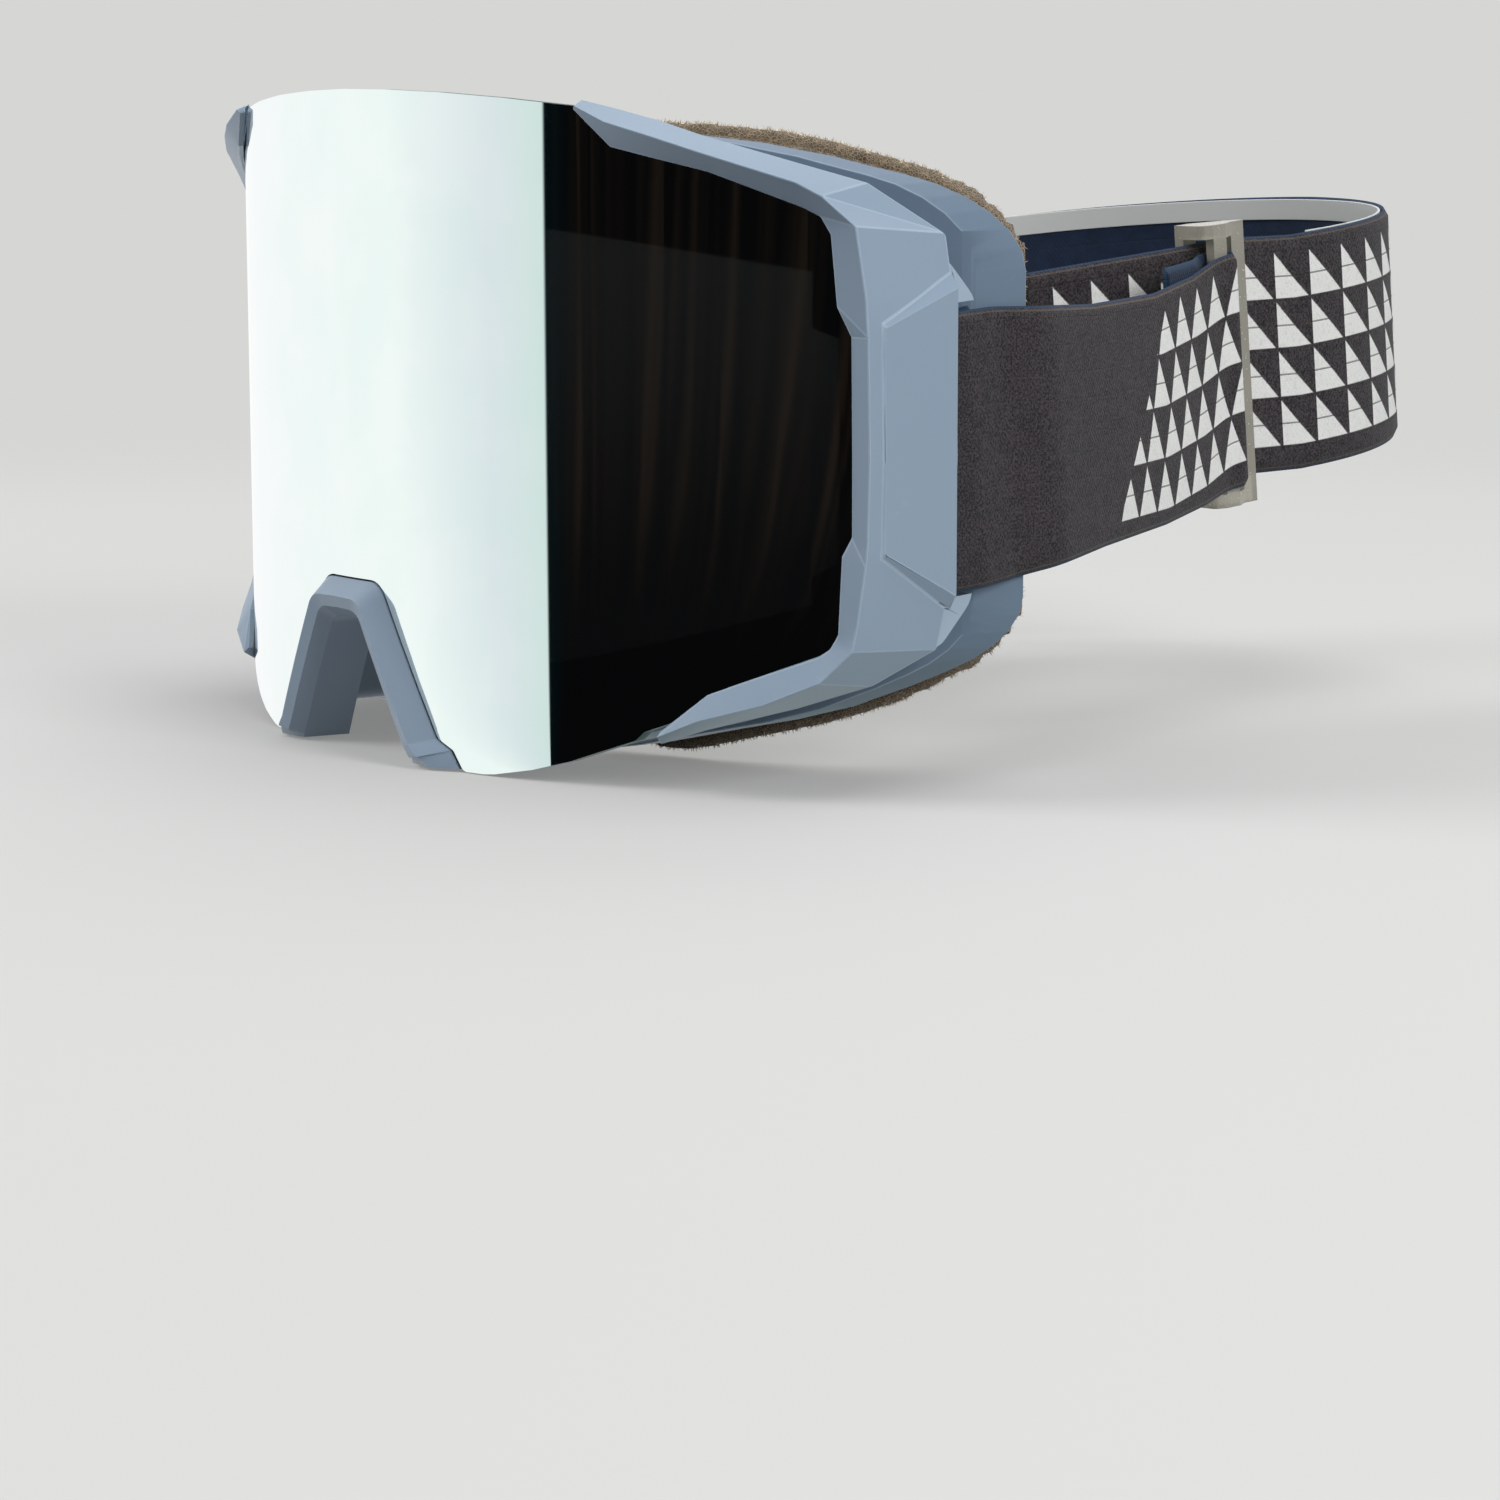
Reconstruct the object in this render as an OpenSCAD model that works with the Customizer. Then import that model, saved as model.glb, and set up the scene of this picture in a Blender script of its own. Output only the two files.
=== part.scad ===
// Ski and snowboard goggles with a cylindrical double lens, triple foam and an elastic strap.
// Millimetres. X is across the face, Y runs from the lens towards the wearer, Z is up.
// Z = 0 touches the two lower lobes of the lens, and the origin lies in the middle of the
// object's width and depth. The modules below draw from the front of the lens, at Y = 0,
// and centred() moves each node back to the origin.

/* [Lens] */
// Width of the outer lens across its widest points
lens_width = 178; // [168:1:186]
// Height of the outer lens from the lobes to the middle of the top edge
lens_height = 108.7; // [104:0.1:112]
// Radius of the outer face of the lens, a cylinder with an upright axis
lens_radius = 126; // [124:1:132]
// Thickness of the outer lens
lens_thick = 1.4; // [1:0.1:2]
// Thickness of the inner lens
inner_lens_thick = 1.0; // [0.8:0.1:1.4]
// Air gap between the two lenses, which is the gasket's thickness
lens_gap = 3.5; // [2.5:0.1:4.5]
// Width of the gasket band
gasket_width = 6.5; // [4:0.1:9]
// Radius of the keyhole notches in the lens edge
notch_radius = 1.6; // [1.2:0.1:2]

/* [Frame] */
// Width of the ledge that backs the inner lens, measured from the lens edge
ledge_width = 12.6; // [11.6:0.1:13]
// Width of the collar band behind the lens edge
collar_width = 4.2; // [3:0.1:5]
// Thickness of the frame's walls
wall = 2.2; // [1.6:0.1:2.6]
// Distance from the widest point of the lens in to the frame's side walls
skirt_in = 11; // [11:0.5:14]
// How far the frame's rear rim stands out past the side walls
rim_step = 5; // [4:0.1:5.1]
// Width of the flat flange that carries the foam
flange_width = 12.5; // [9:0.1:14]
// Depth of the lip that cups the foam
rim_lip = 3; // [1.5:0.1:4]
// Width of the vent slots
vent_width = 4.5; // [3:0.1:5]
// Length of each vent slot
vent_length = 19; // [12:1:20]

/* [Face foam] */
// Radius of the foam's rear face, a cylinder with an upright axis
face_radius = 85; // [82:0.5:90]
// Distance from the front of the lens to the foam's rear face at the middle
face_depth = 34; // [33:0.5:38]
// Thickness of the fleece layer that touches the face
fleece_thick = 3; // [2:0.1:4]
// Thickness of the soft middle foam layer
mid_thick = 4.5; // [3:0.1:5]
// Thickness of the firm foam layer on the frame
base_thick = 4.5; // [3:0.1:5]
// Distance from the frame's rear rim in to the edge of the fleece layer
fleece_in = 7; // [5:0.5:10]
// Width of the foam ring
foam_width = 13; // [10:0.1:14]

/* [Side covers] */
// Thickness of the cover's lip over the lens
lip_thick = 0.9; // [0.6:0.1:1.4]
// Height of the raised panel on the side of the cover
panel_rise = 0.8; // [0.4:0.1:1.2]

/* [Strap] */
// Width of the strap webbing
strap_width = 44; // [38:0.5:46]
// Thickness of the strap webbing
strap_thick = 1.4; // [1:0.1:1.6]
// Upward tilt of the strap behind its anchors, in degrees
strap_lift = 5.5; // [0:0.5:6]
// Height of the strap's middle at its anchors
strap_height = 52; // [48:0.5:56]
// Distance from the front edge of the anchor plates to the anchor bars
anchor_set = 6.5; // [6.4:0.1:7.5]
// Distance from the middle plane to the back strap's two straight runs
run_half = 48; // [40:0.5:54]
// Distance from the anchor bars to the middle of the sliders
slider_y = 92.5; // [88:0.5:100]
// Distance from the anchor bars to the middle of the back strap's bend
bend_y = 119.5; // [119:0.5:130]
// Length of the back strap's tails in front of the sliders
tail_length = 39; // [34:1:44]
// Width of each silicone grip line inside the back strap
grip_width = 4; // [2:0.5:6]

/* [Fits] */
// Free gap between parts that only sit near each other
gap = 0.3; // [0.25:0.01:0.35]
// Gap left for glue or tape between bonded layers
bond = 0.05; // [0.02:0.01:0.1]

/* [Hidden] */
sx = lens_width / 178;
sz = lens_height / 108.7;
lens_in = lens_radius - lens_thick;
inner_out = lens_in - lens_gap;
inner_in = inner_out - inner_lens_thick;
collar_out = lens_in - gap;
ledge_out = inner_in - gap;
face_y = face_depth + face_radius;
mid_r = face_radius + fleece_thick;
base_r = mid_r + mid_thick;
flange_r = base_r + base_thick + bond;
foam_step = 2.5;
rim_edge = 0.4;
lip_wall = 1.2;
skirt_half = lens_width / 2 - skirt_in;
rim_half = skirt_half + rim_step;
fleece_half = rim_half - fleece_in;
bar_in = rim_half + 1.2;
bar_out = bar_in + 1.4;
bar_half = 1.8;
slot_front = bar_half + strap_thick + 2 * gap + 0.2;
half_strap = strap_width / 2;
plate_front = lens_radius - sqrt(pow(ledge_out - wall, 2) - pow(bar_out, 2)) + 0.5;
anchor_y = plate_front + anchor_set;
lug_low = strap_height - half_strap - 4.2;
lug_high = strap_height + half_strap + 4.2;
rail = 2.4;
rail_z = half_strap + 0.4;
far = 400;

back_end = anchor_y + (bend_y + run_half + strap_thick / 2) * cos(strap_lift)
  + half_strap * sin(strap_lift);

// The origin lies under the middle of the whole object, half way along its depth
module centred() {
  translate([0, -back_end / 2, 0])
    children();
}

// small 2D helpers
function unit(v) = v / norm(v);
function turn(u, v) = u[0] * v[1] - u[1] * v[0];
function angle_of(v) = atan2(v[1], v[0]);
function near_angle(a) = a > 180 ? a - 360 : a < -180 ? a + 360 : a;

// Each corner is [x, z, radius]; a radius too large for its two sides is cut to fit
function corner_arc(a, b, c) =
  let (
    u = unit([a[0] - b[0], a[1] - b[1]]),
    v = unit([c[0] - b[0], c[1] - b[1]]),
    t = turn(u, v),
    h = acos(max(-1, min(1, u * v))) / 2,
    room = 0.47 * min(norm([a[0] - b[0], a[1] - b[1]]), norm([c[0] - b[0], c[1] - b[1]])),
    r = min(b[2], room * tan(h))
  )
  (abs(t) < 0.02 || r < 0.05) ? [[b[0], b[1]]] :
  let (
    m = [b[0], b[1]] + unit(u + v) * r / sin(h),
    p = [b[0], b[1]] + u * r / tan(h),
    q = [b[0], b[1]] + v * r / tan(h),
    a0 = angle_of(p - m),
    d = near_angle(angle_of(q - m) - a0),
    n = max(1, ceil(abs(d) / 12))
  )
  [for (i = [0:n]) m + r * [cos(a0 + d * i / n), sin(a0 + d * i / n)]];

function rounded(p) = [
  for (i = [0:len(p) - 1])
    each corner_arc(p[(i + len(p) - 1) % len(p)], p[i], p[(i + 1) % len(p)])
];

// An open path with rounded bends, ends kept as they are
function rounded_open(p) = [
  for (i = [0:len(p) - 1])
    each (i == 0 || i == len(p) - 1) ? [[p[i][0], p[i][1]]] :
      corner_arc(p[i - 1], p[i], p[i + 1])
];

// Moves every side of a closed counterclockwise outline inwards by d
function inset(p, d) = [
  for (i = [0:len(p) - 1])
    let (
      n = len(p),
      a = p[(i + n - 1) % n],
      b = p[i],
      c = p[(i + 1) % n],
      u = unit([b[0] - a[0], b[1] - a[1]]),
      v = unit([c[0] - b[0], c[1] - b[1]]),
      nu = [-u[1], u[0]],
      nv = [-v[1], v[0]],
      s = [b[0], b[1]] + d * (nu + nv) / (1 + nu * nv),
      r = turn(u, v) > 0 ? b[2] - d : b[2] + d
    )
    [s[0], s[1], b[2] < 0.05 ? 0 : max(0.4, r)]
];

// A right half, listed from the nose round to the top, made whole
function whole(p) = concat(p, [
  for (i = [len(p) - 1:-1:0]) if (p[i][0] > 0.001) [-p[i][0], p[i][1], p[i][2]]
]);

// A strip of even thickness along an open path
function strip(p, t) =
  let (
    n = len(p),
    side = [for (i = [0:n - 1])
      let (
        u = unit(p[i] - p[max(0, i - 1)] + (i == 0 ? p[1] - p[0] : [0, 0])),
        v = unit(p[min(n - 1, i + 1)] - p[i] + (i == n - 1 ? p[n - 1] - p[n - 2] : [0, 0])),
        nu = [-u[1], u[0]],
        nv = [-v[1], v[0]]
      )
      (nu + nv) / (1 + nu * nv)]
  )
  concat(
    [for (i = [0:n - 1]) p[i] + side[i] * t / 2],
    [for (i = [n - 1:-1:0]) p[i] - side[i] * t / 2]
  );

// Outlines seen from the front, right halves. The last number of a face point is the share
// of the half width that is added to its x
function lens_half() = [for (q = [
  [8.6, 29.2, 4.5],
  [22.9, 4.8, 1.5],
  [26.4, 3.2, 1.2],
  [28.6, 0, 1.5],
  [34, 0, 12],
  [46, 2.3, 40],
  [60, 7.7, 1.5],
  [61.4, 9.2, 1.2],
  [65, 10.7, 10],
  [87.4, 20.6, 7],
  [88.6, 50, 80],
  [89, 76, 60],
  [88.2, 91.4, 8.5],
  [65, 100.3, 10],
  [53.2, 103.4, 1],
  [51.6, 105.6, 1],
  [38, 107, 0],
  [25, 107.95, 0],
  [12, 108.5, 0],
  [0, 108.7, 0]
]) [q[0] * sx, q[1] * sz, q[2]]];

function base_half() = [for (q = [
  [8.6, 29.2, 4.5],
  [24.6, 1.6, 3],
  [34, 0.6, 14],
  [62, 8.9, 40],
  [87, 20.9, 8],
  [88.3, 50, 80],
  [88.2, 76, 60],
  [87.2, 90.4, 9],
  [65, 99.8, 10],
  [47, 104.4, 40],
  [24, 107.2, 60],
  [0, 108, 0]
]) [q[0] * sx, q[1] * sz, q[2]]];

function face_half(hw) = [for (q = [
  [9.4, 30.6, 5, 0],
  [24.6, 4.9, 5, 0],
  [37, 2.8, 20, 0],
  [26, 10.6, 40, 0.5],
  [0, 21, 14, 1],
  [0, 91, 17, 1],
  [19, 99, 40, 0.5],
  [28, 103.4, 60, 0],
  [0, 104.6, 0, 0]
]) [q[0] * sx + q[3] * hw, q[1] * sz, q[2]]];

module outline(half, d) {
  polygon(rounded(inset(whole(half), d)));
}

module band(half, d0, d1) {
  difference() {
    outline(half, d0);
    outline(half, d1);
  }
}

// Pushes a front view outline through from the lens towards the wearer
module through(y0 = -10, y1 = 118) {
  translate([0, y1, 0])
    rotate([90, 0, 0])
      linear_extrude(height = y1 - y0)
        children();
}

// Upright cylinders about the lens axis and about the face axis
module lens_drum(r) {
  translate([0, lens_radius, -20])
    cylinder(r = r, h = 160, $fn = 240);
}

module face_drum(r) {
  translate([0, face_y, -20])
    cylinder(r = r, h = 160, $fn = 240);
}

module lens_shell(r_out, r_in) {
  difference() {
    lens_drum(r_out);
    lens_drum(r_in);
  }
}

module face_shell(r_out, r_in) {
  difference() {
    face_drum(r_out);
    face_drum(r_in);
  }
}

// Point at front view x and height z, lifted d from the lens's outer face
function on_lens(x, z, d) =
  let (a = asin(x / lens_radius), r = lens_radius + d)
  [r * sin(a), lens_radius - r * cos(a), z];

// Where the two posts at the top and the two at the bottom stand
notches = [
  [70.5 * sx, 97.6 * sz, -111],
  [-70.5 * sx, 97.6 * sz, -69],
  [73.3 * sx, 15.2 * sz, 113],
  [-73.3 * sx, 15.2 * sz, 67]
];

module outer_lens() {
  color([0.82, 0.87, 0.86]) centred()
    difference() {
      intersection() {
        through(-10, 70)
          polygon(rounded(whole(lens_half())));
        lens_shell(lens_radius, lens_in);
      }
      for (n = notches)
        translate([n[0], 60, n[1]])
          rotate([90, 0, 0]) {
            cylinder(r = notch_radius, h = 70, $fn = 24);
            rotate([0, 0, n[2] + 180])
              translate([0, -notch_radius * 0.7, 0])
                cube([6, notch_radius * 1.4, 70]);
          }
    }
}

module lens_gasket() {
  color([0.1, 0.1, 0.11]) centred()
    intersection() {
      through(-10, 70)
        band(base_half(), collar_width + 0.4, collar_width + 0.4 + gasket_width);
      lens_shell(lens_in - bond, inner_out + bond);
    }
}

module inner_lens() {
  color([0.9, 0.55, 0.3, 0.6]) centred()
    intersection() {
      through(-10, 70)
        outline(base_half(), collar_width + 0.4);
      lens_shell(inner_out, inner_in);
    }
}

module vent_slots(y0, y1) {
  // upper slots, then the lower ones in the two lobes
  for (s = [-1, 1])
    for (k = [0:1]) {
      x = (vent_length / 2 + 2.5 + k * (vent_length + 5)) * s;
      y = y0 + (k == 0 ? 0.6 : 6.2);
      translate([x, y, 85])
        rotate([0, 0, s * (k == 0 ? 7 : 21)])
          translate([-vent_length / 2, -vent_width / 2, 0])
            cube([vent_length, vent_width, 40]);
    }
  for (s = [-1, 1])
    translate([s * 46, y1, -10])
      rotate([0, 0, s * 27])
        translate([-vent_length / 2, -vent_width / 2, 0])
          cube([vent_length, vent_width, 26]);
}

module main_frame() {
  color([0.36, 0.45, 0.56]) centred()
    difference() {
      union() {
        // front collar behind the edge of the lens, and the ledge that backs the inner lens
        difference() {
          intersection() {
            through(-10, 70)
              band(base_half(), 0.1, ledge_width);
            lens_shell(collar_out, ledge_out - wall);
          }
          difference() {
            through(-10, 70)
              outline(base_half(), collar_width);
            lens_drum(ledge_out);
          }
        }
        // side walls
        difference() {
          intersection() {
            through(-10, 90)
              band(face_half(skirt_half), 0, wall);
            lens_drum(ledge_out - 1);
          }
          face_drum(flange_r + 1);
        }
        // flange for the foam, with its lip
        difference() {
          intersection() {
            through(-10, 90)
              band(face_half(rim_half - rim_edge), -rim_edge, flange_width);
            face_shell(flange_r + wall, flange_r - rim_lip);
          }
          intersection() {
            through(-10, 90)
              outline(face_half(rim_half - rim_edge), lip_wall);
            face_drum(flange_r);
          }
        }
        // posts that stand in the lens notches
        for (n = notches)
          intersection() {
            translate([n[0], 60, n[1]])
              rotate([90, 0, 0])
                cylinder(r = notch_radius - gap, h = 70, $fn = 24);
            lens_shell(lens_radius, ledge_out);
          }
        // lugs for the strap anchors
        for (s = [-1, 1])
          for (z = [lug_low, lug_high])
            translate([s > 0 ? skirt_half - 1.5 : -(bar_in - 0.02), anchor_y - 2.7, z - 3.2])
              cube([bar_in - 0.02 - skirt_half + 1.5, 5.4, 6.4]);
      }
      vent_slots(15, 26);
      for (s = [-1, 1])
        for (z = [lug_low, lug_high])
          translate([s * (bar_in + 1), anchor_y, z])
            rotate([0, -s * 90, 0])
              cylinder(r = 1.25, h = 7, $fn = 24);
    }
}

// Joins sections of equal length into one closed skin, with fans from point f at both ends
module loft(rows, f) {
  n = len(rows[0]);
  m = len(rows);
  polyhedron(
    points = [for (r = rows) each r],
    faces = concat(
      [for (i = [0:m - 2]) for (j = [0:n - 1]) each [
        [i * n + j, i * n + (j + 1) % n, (i + 1) * n + (j + 1) % n],
        [i * n + j, (i + 1) * n + (j + 1) % n, (i + 1) * n + j]
      ]],
      [for (k = [1:n - 2]) [f, (f + k + 1) % n, (f + k) % n]],
      [for (k = [1:n - 2]) [(m - 1) * n + f, (m - 1) * n + (f + k) % n, (m - 1) * n + (f + k + 1) % n]]
    )
  );
}

// One row per station of a side cover, from the upper tip round to the lower tip:
// lip on the lens [x, z], ridge [x, z, lift], rear edge [x, y, z], inner corner [x, z],
// and how far the rear edge is thick
cover_rows = [
  [[51.4, 105.2], [51.9, 105.7, 0.9], [51.8, 11.6, 106.6], [51.8, 106.0], 0.3],
  [[57.3, 99.4], [57.4, 103.2, 2.4], [57.0, 16.2, 104.9], [57.0, 103.4], 1.0],
  [[64.0, 97.6], [64.2, 101.1, 2.8], [62.4, 19.4, 103.3], [63.4, 101.7], 1.0],
  [[71.0, 95.7], [70.7, 98.7, 3.0], [67.5, 22.6, 101.4], [69.6, 99.6], 1.0],
  [[82.4, 90.6], [82.4, 94.2, 3.0], [80.5, 31.3, 97.2], [80.4, 95.6], 1.1],
  [[84.8, 89.0], [85.2, 92.2, 3.0], [86.0, 40.7, 94.1], [84.6, 94.0], 1.0],
  [[85.9, 86.4], [88.9, 87.6, 3.0], [88.3, 54.0, 86.3], [88.95, 88.6], 1.0],
  [[86.6, 75.6], [90.0, 76.7, 3.0], [89.0, 55.0, 77.5], [89.4, 76.5], 1.3],
  [[88.2, 71.0], [90.2, 71.0, 3.0], [89.2, 55.6, 72.0], [89.4, 71.2], 1.3],
  [[88.3, 52.0], [90.4, 52.6, 3.0], [89.4, 55.9, 52.0], [89.4, 52.2], 1.3],
  [[88.3, 40.6], [90.2, 40.0, 3.0], [89.2, 55.6, 39.0], [89.2, 40.2], 1.3],
  [[87.2, 37.6], [90.0, 36.4, 3.0], [89.1, 55.2, 35.0], [89.1, 36.8], 1.3],
  [[86.8, 25.6], [89.2, 28.0, 3.0], [88.7, 54.3, 29.5], [88.9, 28.6], 1.3],
  [[85.9, 23.4], [88.6, 23.4, 3.0], [88.2, 52.8, 22.1], [88.5, 22.2], 1.3],
  [[84.6, 22.2], [85.0, 18.4, 3.0], [85.4, 42.2, 16.8], [85.0, 18.0], 1.3],
  [[77.5, 18.8], [78.6, 14.8, 3.0], [76.2, 35.2, 13.0], [77.0, 14.7], 1.1],
  [[70.8, 15.7], [70.3, 11.9, 2.8], [68.0, 22.3, 9.5], [69.6, 11.8], 1.0],
  [[64.2, 9.6], [64.0, 8.8, 1.2], [63.6, 17.6, 7.4], [63.8, 8.2], 0.3]
];

function cover_section(q) =
  let (
    lip = [q[0][0] * sx, q[0][1] * sz],
    ridge = [q[1][0] * sx, q[1][1] * sz],
    rear = [q[2][0] * sx, q[2][1], q[2][2] * sz],
    corner = [q[3][0] * sx, q[3][1] * sz],
    mid = [60 * sx, 54 * sz],
    away = unit([rear[0] - mid[0], rear[2] - mid[1]])
  )
  [
    on_lens(lip[0], lip[1], gap + lip_thick),
    on_lens(ridge[0], ridge[1], q[1][2] + lip_thick),
    rear,
    [rear[0] - away[0] * q[4], rear[1] - 0.2, rear[2] - away[1] * q[4]],
    on_lens(corner[0], corner[1], gap),
    on_lens(lip[0], lip[1], gap)
  ];

module cover_shape() {
  loft([for (q = cover_rows) cover_section(q)], 4);
  // raised panel on the side
  hull() {
    for (p = [[92.1, 38.9, 72.4], [92.1, 38.9, 38.2], [89.5, 55.0, 78.0], [89.5, 55.0, 30.6]])
      translate([p[0] * sx + panel_rise - 0.3, p[1], p[2] * sz])
        cube(0.3, center = true);
    for (p = [[91.2, 38.3, 74.4], [91.2, 38.3, 36.2], [88.8, 55.0, 80.4], [88.8, 55.0, 28.4]])
      translate([p[0] * sx - 0.3, p[1], p[2] * sz])
        cube(0.3, center = true);
  }
}

module side_cover_right() {
  color([0.62, 0.7, 0.79]) centred()
    cover_shape();
}

module side_cover_left() {
  color([0.62, 0.7, 0.79]) centred()
    mirror([1, 0, 0])
      cover_shape();
}

// Nose rim stations from the middle outwards: outer edge on the lens cut [x, z],
// ridge, inner edge and how deep the inner edge lies
nose_rows = [
  [[0, 28.85], [0, 25.0], [0, 22.6]],
  [[6.0, 28.85], [4.2, 24.9], [3.4, 22.5]],
  [[7.4, 28.6], [5.2, 24.5], [4.3, 22.0]],
  [[8.7, 27.9], [6.2, 23.7], [5.0, 21.2]],
  [[9.6, 26.8], [7.0, 22.7], [5.7, 20.2]],
  [[16.2, 15.5], [13.0, 12.5], [11.3, 11.0]],
  [[22.0, 5.6], [18.2, 3.6], [16.4, 2.4]],
  [[23.8, 2.1], [19.8, 1.0], [17.6, 0.4]]
];

function nose_section(q, s) =
  let (
    a = [q[0][0] * sx * s, q[0][1] * sz],
    b = [q[1][0] * sx * s, q[1][1] * sz],
    c = [q[2][0] * sx * s, q[2][1] * sz]
  )
  [
    on_lens(a[0], a[1], -0.6),
    on_lens(b[0], b[1], -1.0),
    on_lens(c[0], c[1], -4.5),
    on_lens(c[0], c[1], -8.0),
    on_lens(a[0], a[1], -8.0)
  ];

module nose_rim() {
  color([0.42, 0.52, 0.63]) centred()
    loft(concat(
      [for (i = [len(nose_rows) - 1:-1:1]) nose_section(nose_rows[i], -1)],
      [for (i = [0:len(nose_rows) - 1]) nose_section(nose_rows[i], 1)]
    ), 0);
}

// Frame of the strap: origin between the anchor bars, Y along the strap, Z across it
module on_strap() {
  translate([0, anchor_y, strap_height])
    rotate([strap_lift, 0, 0])
      children();
}

// Plan shapes of the strap parts are drawn in X and Y and raised across the strap's width
module across(h) {
  translate([0, 0, -h / 2])
    linear_extrude(height = h)
      children();
}

plate_outline = [
  [plate_front, strap_height - half_strap - 7.8, 3],
  [anchor_y + 3, strap_height - half_strap - 8.2, 4],
  [anchor_y + 9.6, strap_height - half_strap - 1, 5],
  [anchor_y + 9.9, strap_height + half_strap + 2, 5],
  [anchor_y + 4, strap_height + half_strap + 8.4, 4],
  [plate_front, strap_height + half_strap + 8, 3]
];

module anchor_plate() {
  difference() {
    translate([bar_in, 0, 0])
      rotate([90, 0, 90])
        linear_extrude(height = bar_out - bar_in)
          polygon(rounded(plate_outline));
    on_strap() {
      // slot in front of the bar, and the notch behind it that frees the bar
      translate([bar_in - 1, -slot_front, -half_strap - 0.8])
        cube([4, slot_front - bar_half, strap_width + 1.6]);
      translate([bar_in - 1, bar_half, -half_strap - 0.8])
        cube([4, 12, strap_width + 1.6]);
    }
    for (z = [lug_low, lug_high])
      translate([bar_in - 1, anchor_y, z])
        rotate([0, 90, 0])
          cylinder(r = 1.25, h = 4, $fn = 24);
  }
}

module anchor_plate_right() {
  color([0.66, 0.74, 0.82]) centred()
    anchor_plate();
}

module anchor_plate_left() {
  color([0.66, 0.74, 0.82]) centred()
    mirror([1, 0, 0])
      anchor_plate();
}

module anchor_screws() {
  color([0.5, 0.5, 0.52]) centred()
    for (s = [-1, 1])
      for (z = [lug_low, lug_high])
        translate([s * (bar_out + 1.2), anchor_y, z])
          rotate([0, -s * 90, 0])
            difference() {
              union() {
                cylinder(r = 2.2, h = 1.15, $fn = 32);
                cylinder(r = 1.2, h = 6.8, $fn = 32);
              }
              translate([-0.4, -1.4, -0.1])
                cube([0.8, 2.8, 0.7]);
              translate([-1.4, -0.4, -0.1])
                cube([2.8, 0.8, 0.7]);
            }
}

module foam_ring(hw, edge, r_out, r_in) {
  intersection() {
    through(-10, 118)
      band(face_half(hw), edge, foam_width);
    face_shell(r_out, r_in);
  }
}

module foam_base() {
  color([0.2, 0.2, 0.21]) centred()
    foam_ring(rim_half - rim_edge, lip_wall + gap, flange_r - bond, base_r);
}

module foam_mid() {
  color([0.3, 0.28, 0.26]) centred()
    foam_ring(fleece_half + foam_step, 0.75, base_r - bond, mid_r);
}

module foam_fleece() {
  color([0.42, 0.35, 0.28]) centred()
    foam_ring(fleece_half, 0.5, mid_r - bond, face_radius);
}

module vent_foam(x0, x1, z0, z1) {
  difference() {
    intersection() {
      through(-10, 90)
        band(face_half(skirt_half), wall + gap, wall + gap + 2);
      lens_drum(ledge_out - wall - gap);
      for (s = [-1, 1])
        translate([s > 0 ? x0 : -x1, -5, z0])
          cube([x1 - x0, 90, z1 - z0]);
    }
    face_drum(flange_r + wall + gap);
  }
}

module vent_foam_top() {
  color([0.16, 0.16, 0.17]) centred()
    vent_foam(-1, 52, 88, 120);
}

module vent_foam_bottom() {
  color([0.16, 0.16, 0.17]) centred()
    vent_foam(34, 58, -5, 20);
}

// Front strap: wraps the anchor bar, runs straight from the rim to the slider, wraps its
// front bar and ends in a sewn tail inside the run
loop_gap = gap + strap_thick / 2;
front_bar_y = slider_y + 2;
front_bar_x = run_half + strap_thick / 2 + 2 * gap + strap_thick + 1.0;
front_run_x = front_bar_x + 1 + loop_gap;
bend_out = bar_out + loop_gap;
bend_in = bar_in - loop_gap;
rim_back = face_y - sqrt(pow(flange_r - rim_lip, 2) - pow(rim_half, 2));
pass_y = (rim_back - anchor_y) / cos(strap_lift) + half_strap * tan(strap_lift);
run_start = [rim_half + 1.2, pass_y + 2.5];
run_end = [front_run_x + 0.6, front_bar_y - 3];
forward = unit(run_start - run_end);
inward = [forward[1], -forward[0]];
fold = strap_thick + bond;

front_path = rounded_open([
  [bend_out - strap_thick - 1.2, 11.8, 0],
  [bend_out - strap_thick - 0.25, 8.4, 2],
  [bend_in, 3.2, 2],
  [bend_in, -bar_half - loop_gap, 1.2],
  [bend_out, -bar_half - loop_gap, 1.2],
  [bend_out, 9, 8],
  [rim_half + 1.4, 17, 10],
  [run_start[0], run_start[1], 14],
  [run_end[0], run_end[1], 14],
  [front_run_x, front_bar_y + 1.5 + loop_gap, 1.2],
  [front_bar_x - 1 - loop_gap, front_bar_y + 1.5 + loop_gap, 1.2],
  [front_bar_x - 1 - loop_gap, front_bar_y - 2.5, 2],
  on_run(6.5, 2),
  on_run(19, 0)
]);

// A corner of the sewn tail, d along the run from its rear end
function on_run(d, r) =
  let (q = run_end + d * forward + fold * inward)
  [q[0], q[1], r];

module strap_front() {
  on_strap()
    across(strap_width)
      polygon(strip(front_path, strap_thick));
}

module strap_front_right() {
  color([0.17, 0.17, 0.18]) centred()
    strap_front();
}

module strap_front_left() {
  color([0.17, 0.17, 0.18]) centred()
    mirror([1, 0, 0])
      strap_front();
}

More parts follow.
